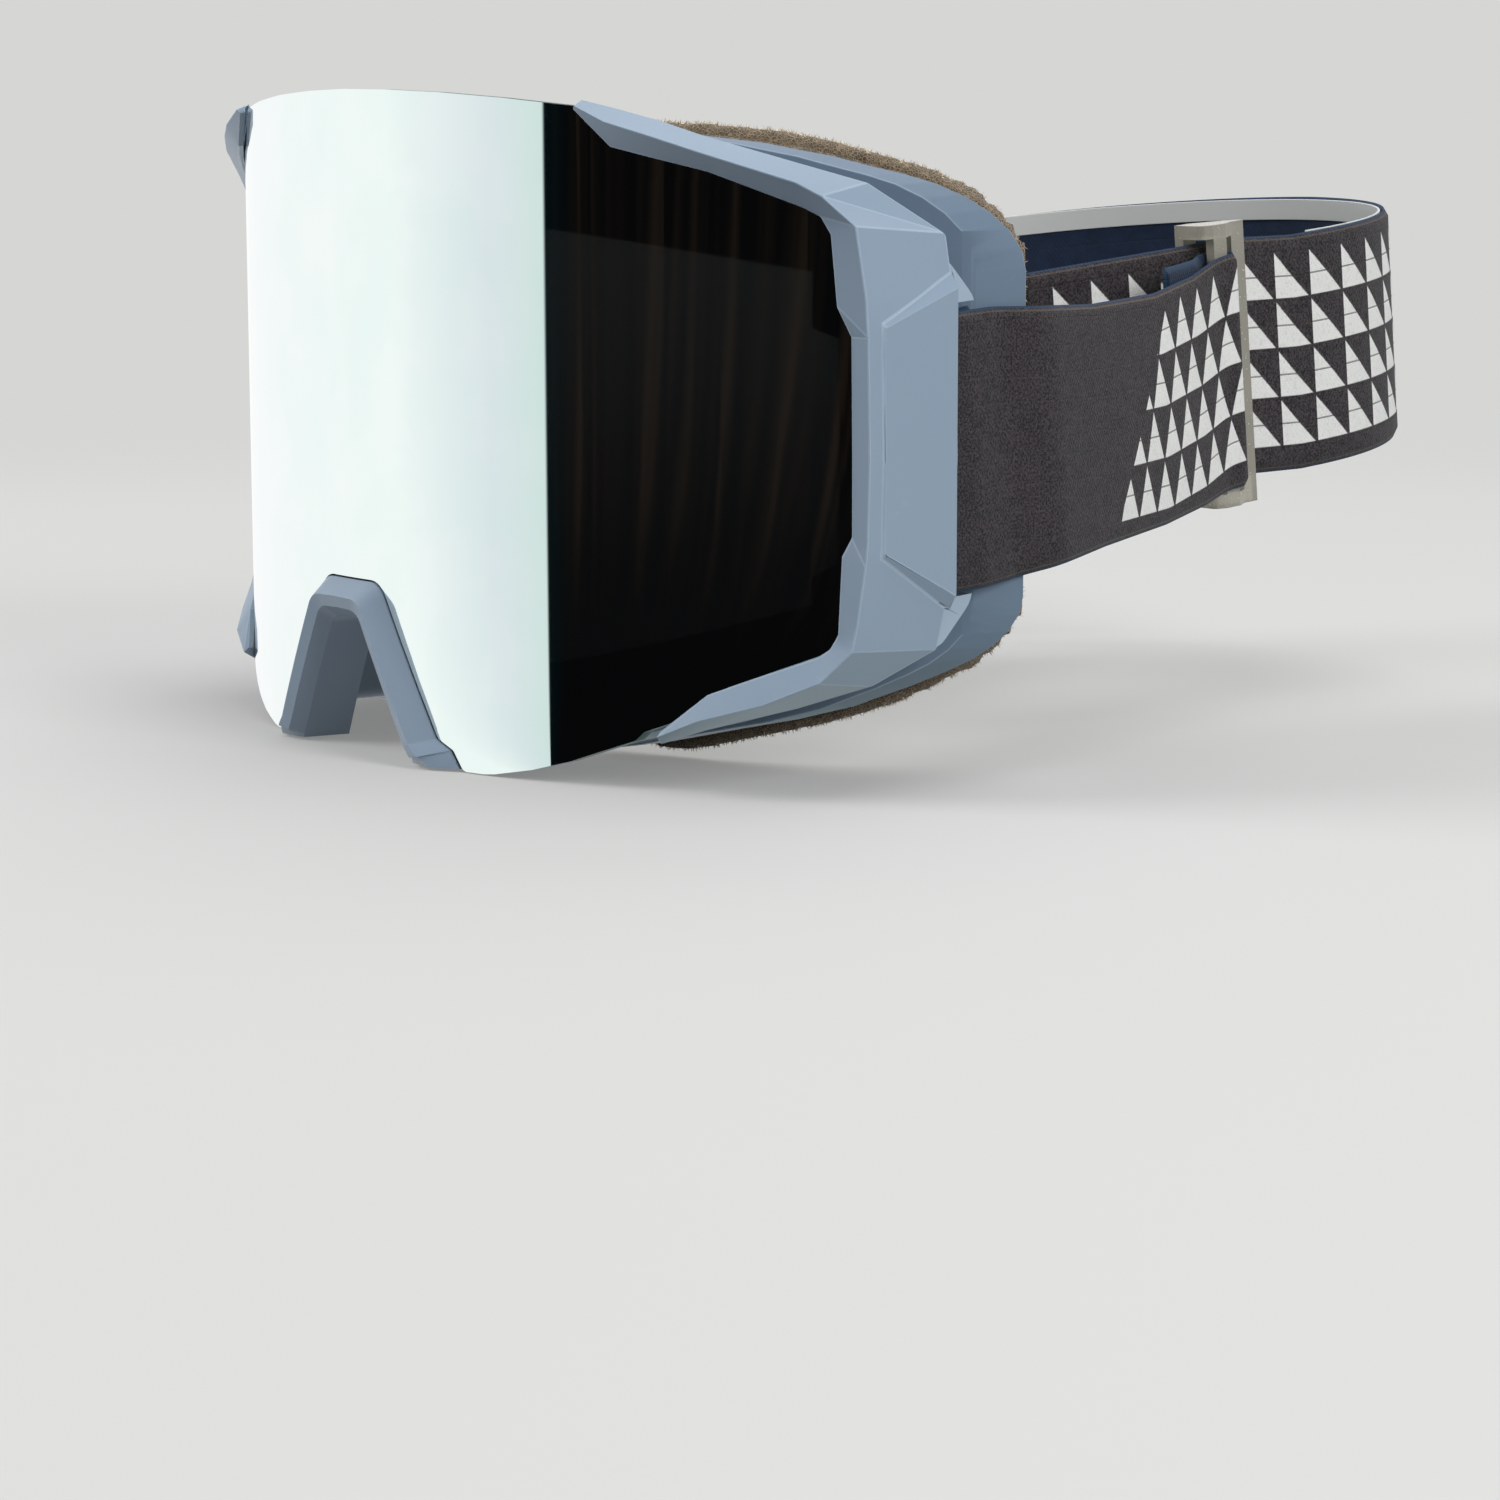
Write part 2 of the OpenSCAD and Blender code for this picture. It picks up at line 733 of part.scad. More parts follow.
// Slider: front bar and rear bar outboard of the back strap, middle bar inboard of it
module slider() {
  inner = run_half - strap_thick / 2 - gap;
  outer = run_half + strap_thick / 2 + gap;
  on_strap() {
    across(2 * (rail_z + rail)) {
      translate([front_bar_x, front_bar_y])
        square([2, 3], center = true);
      translate([outer + 1.1, slider_y + 7.5])
        square([2.2, 3], center = true);
      translate([inner - 1, slider_y])
        square([2, 3], center = true);
    }
    for (s = [-1, 1])
      translate([0, 0, s * (rail_z + rail / 2)])
        across(rail)
          polygon(rounded([
            [inner - 2, slider_y - 1.5, 1.5],
            [front_bar_x, slider_y - 1.5, 1.5],
            [front_bar_x + 1, slider_y + 0.5, 0.8],
            [front_bar_x + 1, front_bar_y + 1.5, 1.5],
            [outer + 2.2, slider_y + 6, 1.5],
            [outer + 2.2, slider_y + 9, 1],
            [outer, slider_y + 9, 1],
            [inner - 2, slider_y + 2, 1.5]
          ]));
  }
}

module slider_right() {
  color([0.6, 0.57, 0.52]) centred()
    slider();
}

module slider_left() {
  color([0.6, 0.57, 0.52]) centred()
    mirror([1, 0, 0])
      slider();
}

// Back strap: two straight tails joined by a round bend
function bend_arc(r) = [
  for (i = [0:18]) [r * cos(i * 10), bend_y + r * sin(i * 10)]
];

module strap_back() {
  color([0.2, 0.2, 0.21]) centred()
    on_strap() {
      for (s = [-1, 1])
        translate([s * run_half - strap_thick / 2, slider_y - tail_length, -half_strap])
          cube([strap_thick, bend_y - slider_y + tail_length, strap_width]);
      across(strap_width)
        difference() {
          translate([0, bend_y])
            circle(r = run_half + strap_thick / 2, $fn = 120);
          translate([0, bend_y])
            circle(r = run_half - strap_thick / 2, $fn = 120);
          translate([-far / 2, bend_y - far])
            square([far, far]);
        }
    }
}

module grip_print() {
  color([0.75, 0.76, 0.76]) centred()
    on_strap()
      for (k = [-1, 0, 1])
        translate([0, 0, k * (half_strap - grip_width / 2 - 1.2)])
          across(grip_width)
            difference() {
              translate([0, bend_y])
                circle(r = run_half - strap_thick / 2 - 0.02, $fn = 120);
              translate([0, bend_y])
                circle(r = run_half - strap_thick / 2 - 0.5, $fn = 120);
              translate([-far / 2, bend_y - far + 1])
                square([far, far]);
            }
}

outer_lens();
lens_gasket();
inner_lens();
main_frame();
side_cover_right();
side_cover_left();
nose_rim();
anchor_plate_right();
anchor_plate_left();
anchor_screws();
foam_base();
foam_mid();
foam_fleece();
vent_foam_top();
vent_foam_bottom();
strap_front_right();
strap_front_left();
slider_right();
slider_left();
strap_back();
grip_print();
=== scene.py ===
"""Finishes of a pair of ski goggles: mirror lens, moulded covers, layered foam and webbing."""

import math

import bpy
import numpy as np
from mathutils import Matrix, Vector


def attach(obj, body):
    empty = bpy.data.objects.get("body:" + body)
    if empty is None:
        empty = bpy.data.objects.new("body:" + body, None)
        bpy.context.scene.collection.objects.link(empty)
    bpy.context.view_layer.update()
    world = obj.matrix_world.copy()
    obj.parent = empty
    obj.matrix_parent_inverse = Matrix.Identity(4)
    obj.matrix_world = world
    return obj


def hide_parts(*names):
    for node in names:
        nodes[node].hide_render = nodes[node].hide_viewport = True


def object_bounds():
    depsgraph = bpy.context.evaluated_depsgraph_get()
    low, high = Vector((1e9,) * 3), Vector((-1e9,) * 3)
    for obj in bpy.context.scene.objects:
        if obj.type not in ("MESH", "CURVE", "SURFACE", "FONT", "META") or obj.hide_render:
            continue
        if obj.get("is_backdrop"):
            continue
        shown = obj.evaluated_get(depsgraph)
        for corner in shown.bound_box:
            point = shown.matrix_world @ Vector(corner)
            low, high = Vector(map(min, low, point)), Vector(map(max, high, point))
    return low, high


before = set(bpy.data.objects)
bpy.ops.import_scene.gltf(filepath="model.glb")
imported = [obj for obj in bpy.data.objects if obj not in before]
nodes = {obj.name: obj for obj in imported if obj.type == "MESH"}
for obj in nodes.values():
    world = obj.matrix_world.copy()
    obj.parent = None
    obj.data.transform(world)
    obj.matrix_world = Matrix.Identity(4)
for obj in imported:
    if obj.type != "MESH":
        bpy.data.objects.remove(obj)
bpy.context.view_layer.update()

# Sizes are millimetres, as in the solid model, and times MM they are metres.
MM = 0.001
# The outer lens: the y of its front, and the radius of its outer face
LENS_FRONT = -110.949
LENS_RADIUS = 126.0
# How far behind the front of the lens the axis of the face's cylinder lies
FACE_AXIS = 119.0
# The strap's start, in y behind the front of the lens and in z, and how steeply the strap rises
ANCHOR = (52.363, 52.0)
LIFT = math.radians(5.5)
# In the strap's own frame: its webbing's thickness, the y of its sliders and the x of its two runs
WEB_THICK = 1.4
SLIDER_PLACE = 92.5
STRAP_RUN = 48.0
# The heading at which the mirror's picture changes from the bright window to the black cloth
CLOTH_START = math.radians(-14.0)
rng = np.random.default_rng(7)


def paint(r, g, b):
    """A screen colour of 0 to 255 as the linear colour that a shader takes."""
    linear = [c / 255 / 12.92 if c < 11 else ((c / 255 + 0.055) / 1.055) ** 2.4 for c in (r, g, b)]
    return (*linear, 1.0)


PALE = paint(214, 214, 212)


# Camera, fitted to the two lenses of the photo

CAMERA_PLACE = Vector((568.014, LENS_FRONT - 336.456, 101.208))
CAMERA_AHEAD = Vector((-0.79602854, 0.58586764, -0.15197918))
CAMERA_UP = Vector((-0.1214709, 0.09135041, 0.98838248))


def set_camera():
    data = bpy.data.cameras.new("camera")
    data.lens, data.sensor_width = 96, 36
    data.clip_start, data.clip_end = 0.02, 60
    camera = bpy.data.objects.new("camera", data)
    bpy.context.scene.collection.objects.link(camera)
    ahead = CAMERA_AHEAD.normalized()
    right = ahead.cross(CAMERA_UP).normalized()
    turn = Matrix((right, right.cross(ahead), -ahead)).transposed().to_4x4()
    camera.matrix_world = Matrix.Translation(CAMERA_PLACE * MM) @ turn
    bpy.context.scene.camera = camera


set_camera()


# Node benches

class Bench:
    """Puts nodes into one tree; a value may be a number, a colour or another node's output."""

    def __init__(self, tree):
        self.tree = tree

    def feed(self, value, socket):
        if isinstance(value, bpy.types.NodeSocket):
            self.tree.links.new(value, socket)
        else:
            socket.default_value = value

    def fill(self, sockets, values):
        for key, value in values.items():
            self.feed(value, sockets[key])

    def add(self, kind, settings=None, feeds=None):
        full_name = kind.startswith(("Geometry", "NodeGroup"))
        node = self.tree.nodes.new(kind if full_name else "ShaderNode" + kind)
        for key, value in (settings or {}).items():
            setattr(node, key, value)
        self.fill(node.inputs, feeds or {})
        return node

    def math(self, operation, *values, clamp=False):
        node = self.add("Math", {"operation": operation, "use_clamp": clamp}, dict(enumerate(values)))
        return node.outputs[0]

    def chain(self, operation, first, *others):
        for other in others:
            first = self.math(operation, first, other)
        return first

    def plus(self, *values):
        return self.chain("ADD", *values)

    def minus(self, *values):
        return self.chain("SUBTRACT", *values)

    def times(self, *values):
        return self.chain("MULTIPLY", *values)

    def over(self, *values):
        return self.chain("DIVIDE", *values)

    def size_of(self, value):
        return self.math("ABSOLUTE", value)

    def vector(self, operation, *values):
        node = self.add("VectorMath", {"operation": operation}, dict(enumerate(values)))
        return node.outputs["Value" if operation in ("LENGTH", "DOT_PRODUCT") else "Vector"]

    def blend(self, share, first, second):
        node = self.add("Mix", {"data_type": "RGBA"}, {0: share, 6: first, 7: second})
        return node.outputs[2]

    def step(self, value, low, high, to_low=0.0, to_high=1.0, curve="SMOOTHSTEP"):
        node = self.add("MapRange", {"interpolation_type": curve},
                        {0: value, 1: low, 2: high, 3: to_low, 4: to_high})
        return node.outputs[0]

    def place(self):
        return self.add("TexCoord").outputs["Object"]

    def kept(self, label):
        """A value that keep_values stored on the mesh."""
        return self.add("Attribute", {"attribute_name": label}).outputs["Fac"]

    def noise(self, scale, detail=2.0, where=None, rough=0.5):
        node = self.add("TexNoise", None, {"Vector": where or self.place(), "Scale": scale,
                                           "Detail": detail, "Roughness": rough})
        return node.outputs["Fac"]

    def bump(self, height, depth):
        node = self.add("Bump", None, {"Height": height, "Distance": depth, "Strength": 1.0})
        return node.outputs["Normal"]


def effect(name, takes, gives):
    """A named group of shader nodes. Returns the group, its bench, its inputs and its outputs."""
    group = bpy.data.node_groups.new(name, "ShaderNodeTree")
    for label, kind, value in takes:
        socket = group.interface.new_socket(label, in_out="INPUT", socket_type="NodeSocket" + kind)
        socket.default_value = value
    for label, kind in gives:
        group.interface.new_socket(label, in_out="OUTPUT", socket_type="NodeSocket" + kind)
    start = group.nodes.new("NodeGroupInput").outputs
    end = group.nodes.new("NodeGroupOutput").inputs
    return group, Bench(group), start, end


def use(bench, group, **values):
    """Places an effect. Its inputs are named by their labels, in small letters and underscores."""
    node = bench.tree.nodes.new("ShaderNodeGroup")
    node.node_tree = group
    bench.fill(node.inputs, {label.replace("_", " ").capitalize(): value for label, value in values.items()})
    return node.outputs


# Effects that more than one material uses

def moulded_skin():
    """The skin of a moulding: soft clouds, fine grain, pale specks and patches worn dull."""
    group, b, start, end = effect(
        "moulded_skin",
        [("Colour", "Color", (0.5, 0.5, 0.5, 1)), ("Scuff colour", "Color", (0.7, 0.7, 0.7, 1)),
         ("Grains per metre", "Float", 2600.0), ("Dullness", "Float", 0.42)],
        [("Colour", "Color"), ("Roughness", "Float"), ("Height", "Float")])
    cloud_share, rubbed_share, speck_share = 0.22, 0.16, 0.1
    grain_dulls, rubbing_dulls = 0.18, 0.4
    where = b.place()
    clouds = b.noise(26.0, 3.0, where)
    grain = b.noise(start["Grains per metre"], 2.0, where, 0.6)
    speck = b.step(b.noise(900.0, 2.0, where, 0.7), 0.68, 0.8)
    lighter = b.times(b.step(b.noise(120.0, 5.0, where, 0.7), 0.6, 0.78), rubbed_share)
    tone = b.blend(b.times(clouds, cloud_share), start["Colour"], start["Scuff colour"])
    tone = b.blend(lighter, tone, start["Scuff colour"])
    tone = b.blend(b.times(speck, speck_share), tone, start["Scuff colour"])
    dull = b.plus(start["Dullness"], b.times(b.minus(grain, 0.5), grain_dulls))
    dull = b.math("ADD", dull, b.times(lighter, rubbing_dulls), clamp=True)
    b.fill(end, {"Colour": tone, "Roughness": dull, "Height": grain})
    return group


def open_cells():
    """Open foam: a paler skin between pores painted dark, a painted shade in the hollow cells."""
    group, b, start, end = effect(
        "open_cells",
        [("Colour", "Color", (0.1, 0.1, 0.1, 1)), ("Pore colour", "Color", (0.01, 0.01, 0.01, 1)),
         ("Cells per metre", "Float", 1400.0)],
        [("Colour", "Color"), ("Height", "Float")])
    where = b.place()
    cell = b.add("TexVoronoi", {"feature": "DISTANCE_TO_EDGE"},
                 {"Vector": where, "Scale": start["Cells per metre"]})
    # the pores are hollows, and their dark colour is painted shade
    pore = b.step(cell.outputs["Distance"], 0.03, 0.2)
    soft = b.noise(420.0, 4.0, where, 0.65)
    shade = b.times(pore, b.step(soft, 0.3, 0.7, 0.45, 1.0))
    b.fill(end, {"Colour": b.blend(shade, start["Colour"], start["Pore colour"]),
                 "Height": b.minus(soft, b.times(pore, 0.7))})
    return group


def ribbed_web():
    """Woven webbing, in millimetres: threads in offset rows, and narrow channels along it.
    Level is 1 on the cloth and 0 in a channel."""
    group, b, start, end = effect(
        "ribbed_web",
        [("Along", "Float", 0.0), ("Across", "Float", 0.0), ("Rib pitch", "Float", 0.85),
         ("Channel pitch", "Float", 4.35)],
        [("Height", "Float"), ("Thread", "Float"), ("Level", "Float")])
    row_pitch, weft_pitch = 0.62, 0.31
    odd_row = b.math("GREATER_THAN", b.math("FRACT", b.times(b.over(start["Across"], row_pitch), 0.5)), 0.5)
    shifted = b.plus(b.over(start["Along"], start["Rib pitch"]), b.times(odd_row, 0.5))
    warp = b.size_of(b.math("SINE", b.times(shifted, math.pi)))
    weft = b.size_of(b.math("SINE", b.times(b.over(start["Across"], weft_pitch), math.pi)))
    thread = b.times(b.math("POWER", warp, 0.6), b.math("POWER", weft, 0.5))
    from_middle = b.size_of(b.minus(b.math("FRACT", b.over(start["Across"], start["Channel pitch"])), 0.5))
    level = b.step(from_middle, 0.44, 0.49, 1.0, 0.0)
    height = b.plus(b.times(thread, 0.55), b.times(level, 0.6))
    b.fill(end, {"Height": height, "Thread": thread, "Level": level})
    return group


def triangle_rows():
    """Rows of triangles that stand point up, in millimetres, counted down from the first row."""
    group, b, start, end = effect(
        "triangle_rows",
        [("Along", "Float", 0.0), ("Down", "Float", 0.0), ("Pitch", "Float", 8.0),
         ("Row height", "Float", 8.7), ("Apex", "Float", 0.5), ("Row shift", "Float", 0.5),
         ("Ragged", "Float", 0.02)],
        [("Mask", "Float")])
    row_count = 4.0
    fuzz = b.times(b.minus(b.noise(2400.0, 2.0), 0.5), start["Ragged"])
    rows = b.over(start["Down"], start["Row height"])
    row, depth = b.math("FLOOR", rows), b.math("FRACT", rows)
    spot = b.math("FRACT", b.plus(b.over(start["Along"], start["Pitch"]), b.times(row, start["Row shift"])))
    lean = b.minus(spot, start["Apex"])
    left = b.over(b.times(lean, -1.0), b.math("MAXIMUM", start["Apex"], 0.001))
    right = b.over(lean, b.minus(1.0, start["Apex"]))
    side = b.plus(b.math("MAXIMUM", left, right), fuzz)
    inside = b.step(b.minus(depth, side), 0.0, 0.05)
    over_base = b.step(depth, 0.93, 0.955, 1.0, 0.0)
    counted = b.times(b.math("GREATER_THAN", rows, 0.0), b.math("LESS_THAN", rows, row_count))
    b.fill(end, {"Mask": b.times(inside, over_base, counted)})
    return group


def reflected_room():
    """What the mirror sees along a heading: a bright window on the left, black cloth beside it."""
    group, b, start, end = effect("reflected_room", [("Place", "Vector", (0, 0, 0))],
                                  [("Colour", "Color")])
    window_width, teal_width = 1.95, 0.09
    spot = b.add("SeparateXYZ", None, {0: start["Place"]})
    heading = b.math("ARCTAN2", spot.outputs[0], b.times(spot.outputs[1], -1.0))
    cloth = b.times(b.step(heading, CLOTH_START - 0.006, CLOTH_START + 0.004),
                    b.step(heading, 1.15, 1.5, 1.0, 0.0))
    window = b.add("ValToRGB", None, {0: b.over(b.minus(CLOTH_START, heading), window_width)})
    stops = window.color_ramp.elements
    stops[0].color, stops[1].color = paint(216, 230, 227), paint(255, 255, 255)
    for place, colour in ((0.1, (226, 232, 236)), (0.3, (248, 252, 251)), (0.75, (251, 252, 253))):
        stops.new(place).color = paint(*colour)
    # the folds show far off only; the cloth under the goggles is plain
    along = b.add("CombineXYZ", None, {0: b.times(heading, 9.0)}).outputs[0]
    far = b.step(b.vector("LENGTH", start["Place"]), 0.12, 0.6)
    folds = b.times(b.step(b.noise(1.9, 2.0, along, 0.5), 0.42, 0.72), far)
    black = b.blend(folds, paint(7, 7, 8), paint(27, 21, 17))
    teal = b.step(heading, CLOTH_START, CLOTH_START + teal_width, 1.0, 0.0)
    black = b.blend(teal, black, paint(4, 13, 16))
    b.fill(end, {"Colour": b.blend(cloth, window.outputs["Color"], black)})
    return group


SKIN, CELLS, WEB, ROWS, ROOM = moulded_skin(), open_cells(), ribbed_web(), triangle_rows(), reflected_room()


# Materials

def material(name):
    """A new material, its bench and its shader's sockets."""
    made = bpy.data.materials.new(name)
    made.use_nodes = True
    return made, Bench(made.node_tree), made.node_tree.nodes["Principled BSDF"].inputs


def plastic(name, colour, scuff, dullness=0.4, grains=2600.0, depth=0.00002, extra=None):
    """A moulded plastic or rubber; extra holds the shader's other sockets."""
    made, b, shader = material(name)
    out = use(b, SKIN, colour=colour, scuff_colour=scuff, grains_per_metre=grains, dullness=dullness)
    b.fill(shader, {"Base Color": out["Colour"], "Roughness": out["Roughness"],
                    "Normal": b.bump(out["Height"], depth), **(extra or {})})
    return made


def foam(name, colour, pores, cells, depth=0.0003, sheen=0.1):
    """An open foam, with its number of cells per metre; pores is the colour of the painted shade in its
    cells.
    """
    made, b, shader = material(name)
    out = use(b, CELLS, colour=colour, pore_colour=pores, cells_per_metre=cells)
    b.fill(shader, {"Base Color": out["Colour"], "Roughness": 0.95, "Sheen Weight": sheen,
                    "Specular IOR Level": 0.2, "Normal": b.bump(out["Height"], depth)})
    return made


def inside_gasket(b, x, z):
    """How far, in metres, a place on the lens lies inside the inner edge of the gasket."""
    top, top_sag = 0.0898, 1.244
    foot, foot_rise = 0.0139, 2.27
    nose, nose_slope = 0.041, 0.9
    side, side_step = 0.084, 0.003
    square = b.times(x, x)
    below_top = b.minus(top, b.plus(z, b.times(square, top_sag)))
    over_foot = b.minus(z, b.plus(foot, b.times(square, foot_rise)))
    over_nose = b.minus(b.plus(z, b.times(x, nose_slope)), nose)
    mid_height = b.times(b.step(z, 0.0705, 0.0725, 1.0, 0.0), b.step(z, 0.034, 0.037))
    from_side = b.minus(b.plus(side, b.times(mid_height, side_step)), x)
    return b.chain("MINIMUM", below_top, over_foot, over_nose, from_side)


def mirror_lens():
    """Silver green mirror on the outer face, smoke tint inside, dark teal at the cut edge."""
    made, b, shader = material("mirror_lens")
    coords = b.add("TexCoord").outputs
    spot = b.add("SeparateXYZ", None, {0: coords["Object"]}).outputs
    from_axis = b.minus(spot[1], (LENS_FRONT + LENS_RADIUS) * MM)
    radial = b.vector("NORMALIZE", b.add("CombineXYZ", None, {0: spot[0], 1: from_axis}).outputs[0])
    facing = b.vector("DOT_PRODUCT", coords["Normal"], radial)
    outer = b.step(facing, 0.75, 0.95)
    inner = b.step(facing, -0.95, -0.75, 1.0, 0.0)
    haze = b.noise(70.0, 4.0)
    silver = b.blend(b.step(haze, 0.3, 0.75), paint(240, 250, 247), paint(247, 252, 250))
    smoke = b.blend(haze, paint(26, 24, 24), paint(38, 33, 30))
    edge = b.blend(haze, paint(16, 40, 46), paint(30, 62, 66))
    # the coating lets a trace of the inside through, more of it higher up, but not at the gasket
    bare_low, bare_high = 0.0025, 0.011
    uncovered = b.step(inside_gasket(b, b.size_of(spot[0]), spot[2]), 0.0, 0.0006)
    bare = b.times(uncovered, b.step(spot[2], 0.03, 0.088, bare_low, bare_high))
    worn = b.times(b.step(b.noise(260.0, 6.0, None, 0.7), 0.62, 0.9), 0.1)
    either_face = b.math("MAXIMUM", outer, inner)
    b.fill(shader, {
        "Base Color": b.blend(outer, b.blend(inner, edge, smoke), silver),
        "Metallic": b.minus(outer, b.times(bare, outer)),
        "Roughness": b.plus(b.step(either_face, 0.0, 1.0, 0.5, 0.02), b.times(worn, outer)),
        "Coat Weight": outer, "Coat Roughness": 0.02, "IOR": 1.55})
    return made


def tinted_lens():
    """The clear inner lens, with a faint warm tint and a few wiped, duller patches."""
    made, b, shader = material("clear_lens")
    wiped = b.times(b.step(b.noise(40.0, 3.0), 0.5, 0.9), 0.02)
    b.fill(shader, {"Base Color": b.blend(b.noise(30.0), paint(238, 230, 218), paint(230, 219, 204)),
                    "Roughness": b.plus(0.015, wiped), "Transmission Weight": 0.92, "IOR": 1.5})
    return made


def screw_steel():
    made, b, shader = material("screw_steel")
    lines = b.noise(1800.0, 3.0, None, 0.8)
    b.fill(shader, {"Base Color": b.blend(lines, paint(120, 120, 124), paint(178, 178, 182)),
                    "Roughness": b.plus(0.25, b.times(lines, 0.2)), "Metallic": 1.0,
                    "Normal": b.bump(lines, 0.00001)})
    return made


def pile_thread():
    """The pile's threads, each with its own shade of brown grey."""
    made, b, shader = material("fleece_pile")
    shade = b.plus(b.times(b.kept("shade"), 0.8), b.times(b.noise(90.0, 3.0), 0.2))
    b.fill(shader, {"Base Color": b.blend(shade, paint(148, 128, 103), paint(255, 240, 212)),
                    "Roughness": 0.9, "Sheen Weight": 0.25, "Specular IOR Level": 0.2,
                    "Normal": b.bump(b.noise(3000.0), 0.00003)})
    return made


def webbing(name, printed):
    """Charcoal webbing with white triangles outside and a navy lining.
    printed says how the print runs: pitch, row height, apex, row shift, top margin, first place
    and how much later it starts at the top than below."""
    made, b, shader = material(name)
    rib_pitch, ragged, print_edge = 0.9, 0.035, 0.12
    along, across, side, half = b.kept("along"), b.kept("across"), b.kept("side"), b.kept("half")
    down = b.minus(half, across)
    print_down = b.minus(down, printed["margin"])
    weave = use(b, WEB, along=along, across=print_down, rib_pitch=rib_pitch,
                channel_pitch=printed["height"] / 2)
    rows = use(b, ROWS, along=along, down=print_down, pitch=printed["pitch"],
               row_height=printed["height"], apex=printed["apex"], row_shift=printed["shift"],
               ragged=ragged)
    begun = b.step(b.plus(along, b.times(down, printed["slant"])), printed["first"],
                   printed["first"] + print_edge)
    outside = b.step(side, 0.35, 0.6)
    worn = b.step(b.noise(1300.0, 3.0, None, 0.7), 0.3, 0.5, 0.9, 1.0)
    sunken = b.step(weave["Level"], 0.0, 0.8, 0.3, 1.0)
    ink = b.times(rows["Mask"], begun, outside, worn, sunken)
    clouds = b.noise(300.0, 4.0, None, 0.7)
    speck = b.noise(2600.0, 3.0, None, 0.7)
    grain = b.step(b.plus(b.times(clouds, 0.15), b.times(speck, 0.85)), 0.38, 0.62)
    charcoal = b.blend(grain, paint(24, 22, 25), paint(84, 77, 80))
    charcoal = b.blend(b.times(weave["Thread"], 0.4), charcoal, paint(50, 48, 50))
    white = b.blend(speck, paint(232, 232, 229), paint(252, 252, 249))
    hem = b.times(b.step(b.size_of(across), b.minus(half, 0.95), b.minus(half, 0.6)), outside)
    face = b.blend(b.times(hem, 0.75), b.blend(ink, charcoal, white), paint(124, 112, 100))
    lining = b.blend(clouds, paint(22, 30, 46), paint(40, 54, 78))
    # the lining turns paler blue round the strap's rounded edges: a painted highlight
    lining = b.blend(b.step(side, -0.9, -0.3), lining, paint(44, 62, 86))
    height = b.plus(weave["Height"], b.times(ink, 0.25), b.times(speck, 0.5))
    b.fill(shader, {
        "Base Color": b.blend(b.step(side, 0.1, 0.4), lining, face),
        "Roughness": b.minus(0.86, b.times(ink, 0.24)), "Sheen Weight": 0.08, "Sheen Roughness": 0.5,
        "Specular IOR Level": 0.3, "Normal": b.bump(height, 0.00012)})
    return made


# Moulded nodes of the solid model: welded, edges rounded a little, crisp facets kept

def weld_and_shade(name, sharpest=None, thin_inside=None):
    """Joins the solid's split edges and shades them smooth. With sharpest, in degrees, each edge
    above it keeps a bevel weight that grows with its angle. thin_inside is the x, in metres,
    inside which the moulding runs thin and its bevels with it."""
    group = bpy.data.node_groups.new(name, "GeometryNodeTree")
    for way in ("INPUT", "OUTPUT"):
        group.interface.new_socket("Geometry", in_out=way, socket_type="NodeSocketGeometry")
    weld_gap, bold_range, least_weight = 2e-6, 24, 0.35
    thin_range, thin_weight, lower_arm_lean = 0.012, 0.3, 0.12
    b = Bench(group)
    start, end = b.add("NodeGroupInput"), b.add("NodeGroupOutput")
    merged = b.add("GeometryNodeMergeByDistance", None, {"Geometry": start.outputs[0], "Distance": weld_gap})
    plain = b.add("GeometryNodeRemoveAttribute", None,
                  {"Geometry": merged.outputs[0], "Name": "custom_normal"})
    faces = b.add("GeometryNodeSetShadeSmooth", None, {"Geometry": plain.outputs[0]})
    last = b.add("GeometryNodeSetShadeSmooth", {"domain": "EDGE"},
                 {"Geometry": faces.outputs[0], "Shade Smooth": True})
    if sharpest:
        angle = b.add("GeometryNodeInputMeshEdgeAngle").outputs["Unsigned Angle"]
        low, high = math.radians(sharpest), math.radians(sharpest + bold_range)
        bold = b.step(angle, low, high, least_weight, 1.0, "LINEAR")
        weight = b.times(b.math("GREATER_THAN", angle, low), bold)
        if thin_inside:
            spot = b.add("SeparateXYZ", None, {0: b.add("GeometryNodeInputPosition").outputs[0]}).outputs
            # the lower arm ends further out than the upper one
            from_middle = b.math("MULTIPLY_ADD", spot[2], lower_arm_lean, b.size_of(spot[0]))
            full = b.step(from_middle, thin_inside, thin_inside + thin_range, thin_weight, 1.0, "LINEAR")
            weight = b.times(weight, full)
        last = b.add("GeometryNodeStoreNamedAttribute", {"domain": "EDGE", "data_type": "FLOAT"},
                     {"Geometry": last.outputs[0], "Name": "bevel_weight_edge", "Value": weight})
    b.feed(last.outputs[0], end.inputs[0])
    return group


WELD = weld_and_shade("weld")
COVER_WELD = weld_and_shade("weld_cover", 17.0, 0.067)
FRAME_WELD = weld_and_shade("weld_frame", 40.0)


def round_edges(piece, width, segments, angle=None, miter="MITER_SHARP", lighter=False):
    """Bevels the edges above an angle in degrees, or by their own bevel weights without one.
    With lighter, the bevels take the piece's second material, a lighter one: a painted highlight along the
    edges."""
    bevel = piece.modifiers.new("edge", "BEVEL")
    bevel.width, bevel.segments, bevel.miter_outer = width * MM, segments, miter
    bevel.limit_method, bevel.use_clamp_overlap = ("ANGLE", True) if angle else ("WEIGHT", False)
    if angle:
        bevel.angle_limit = math.radians(angle)
    bevel.material = 1 if lighter else -1
    even = piece.modifiers.new("even", "WEIGHTED_NORMAL")
    even.weight, even.keep_sharp = 80, False


def dress(name, weld, *finishes):
    """Gives a solid its materials and joins its edges."""
    node = nodes[name]
    node.data.materials.clear()
    for finish in finishes:
        node.data.materials.append(finish)
    node.modifiers.new("weld", "NODES").node_group = weld
    return node


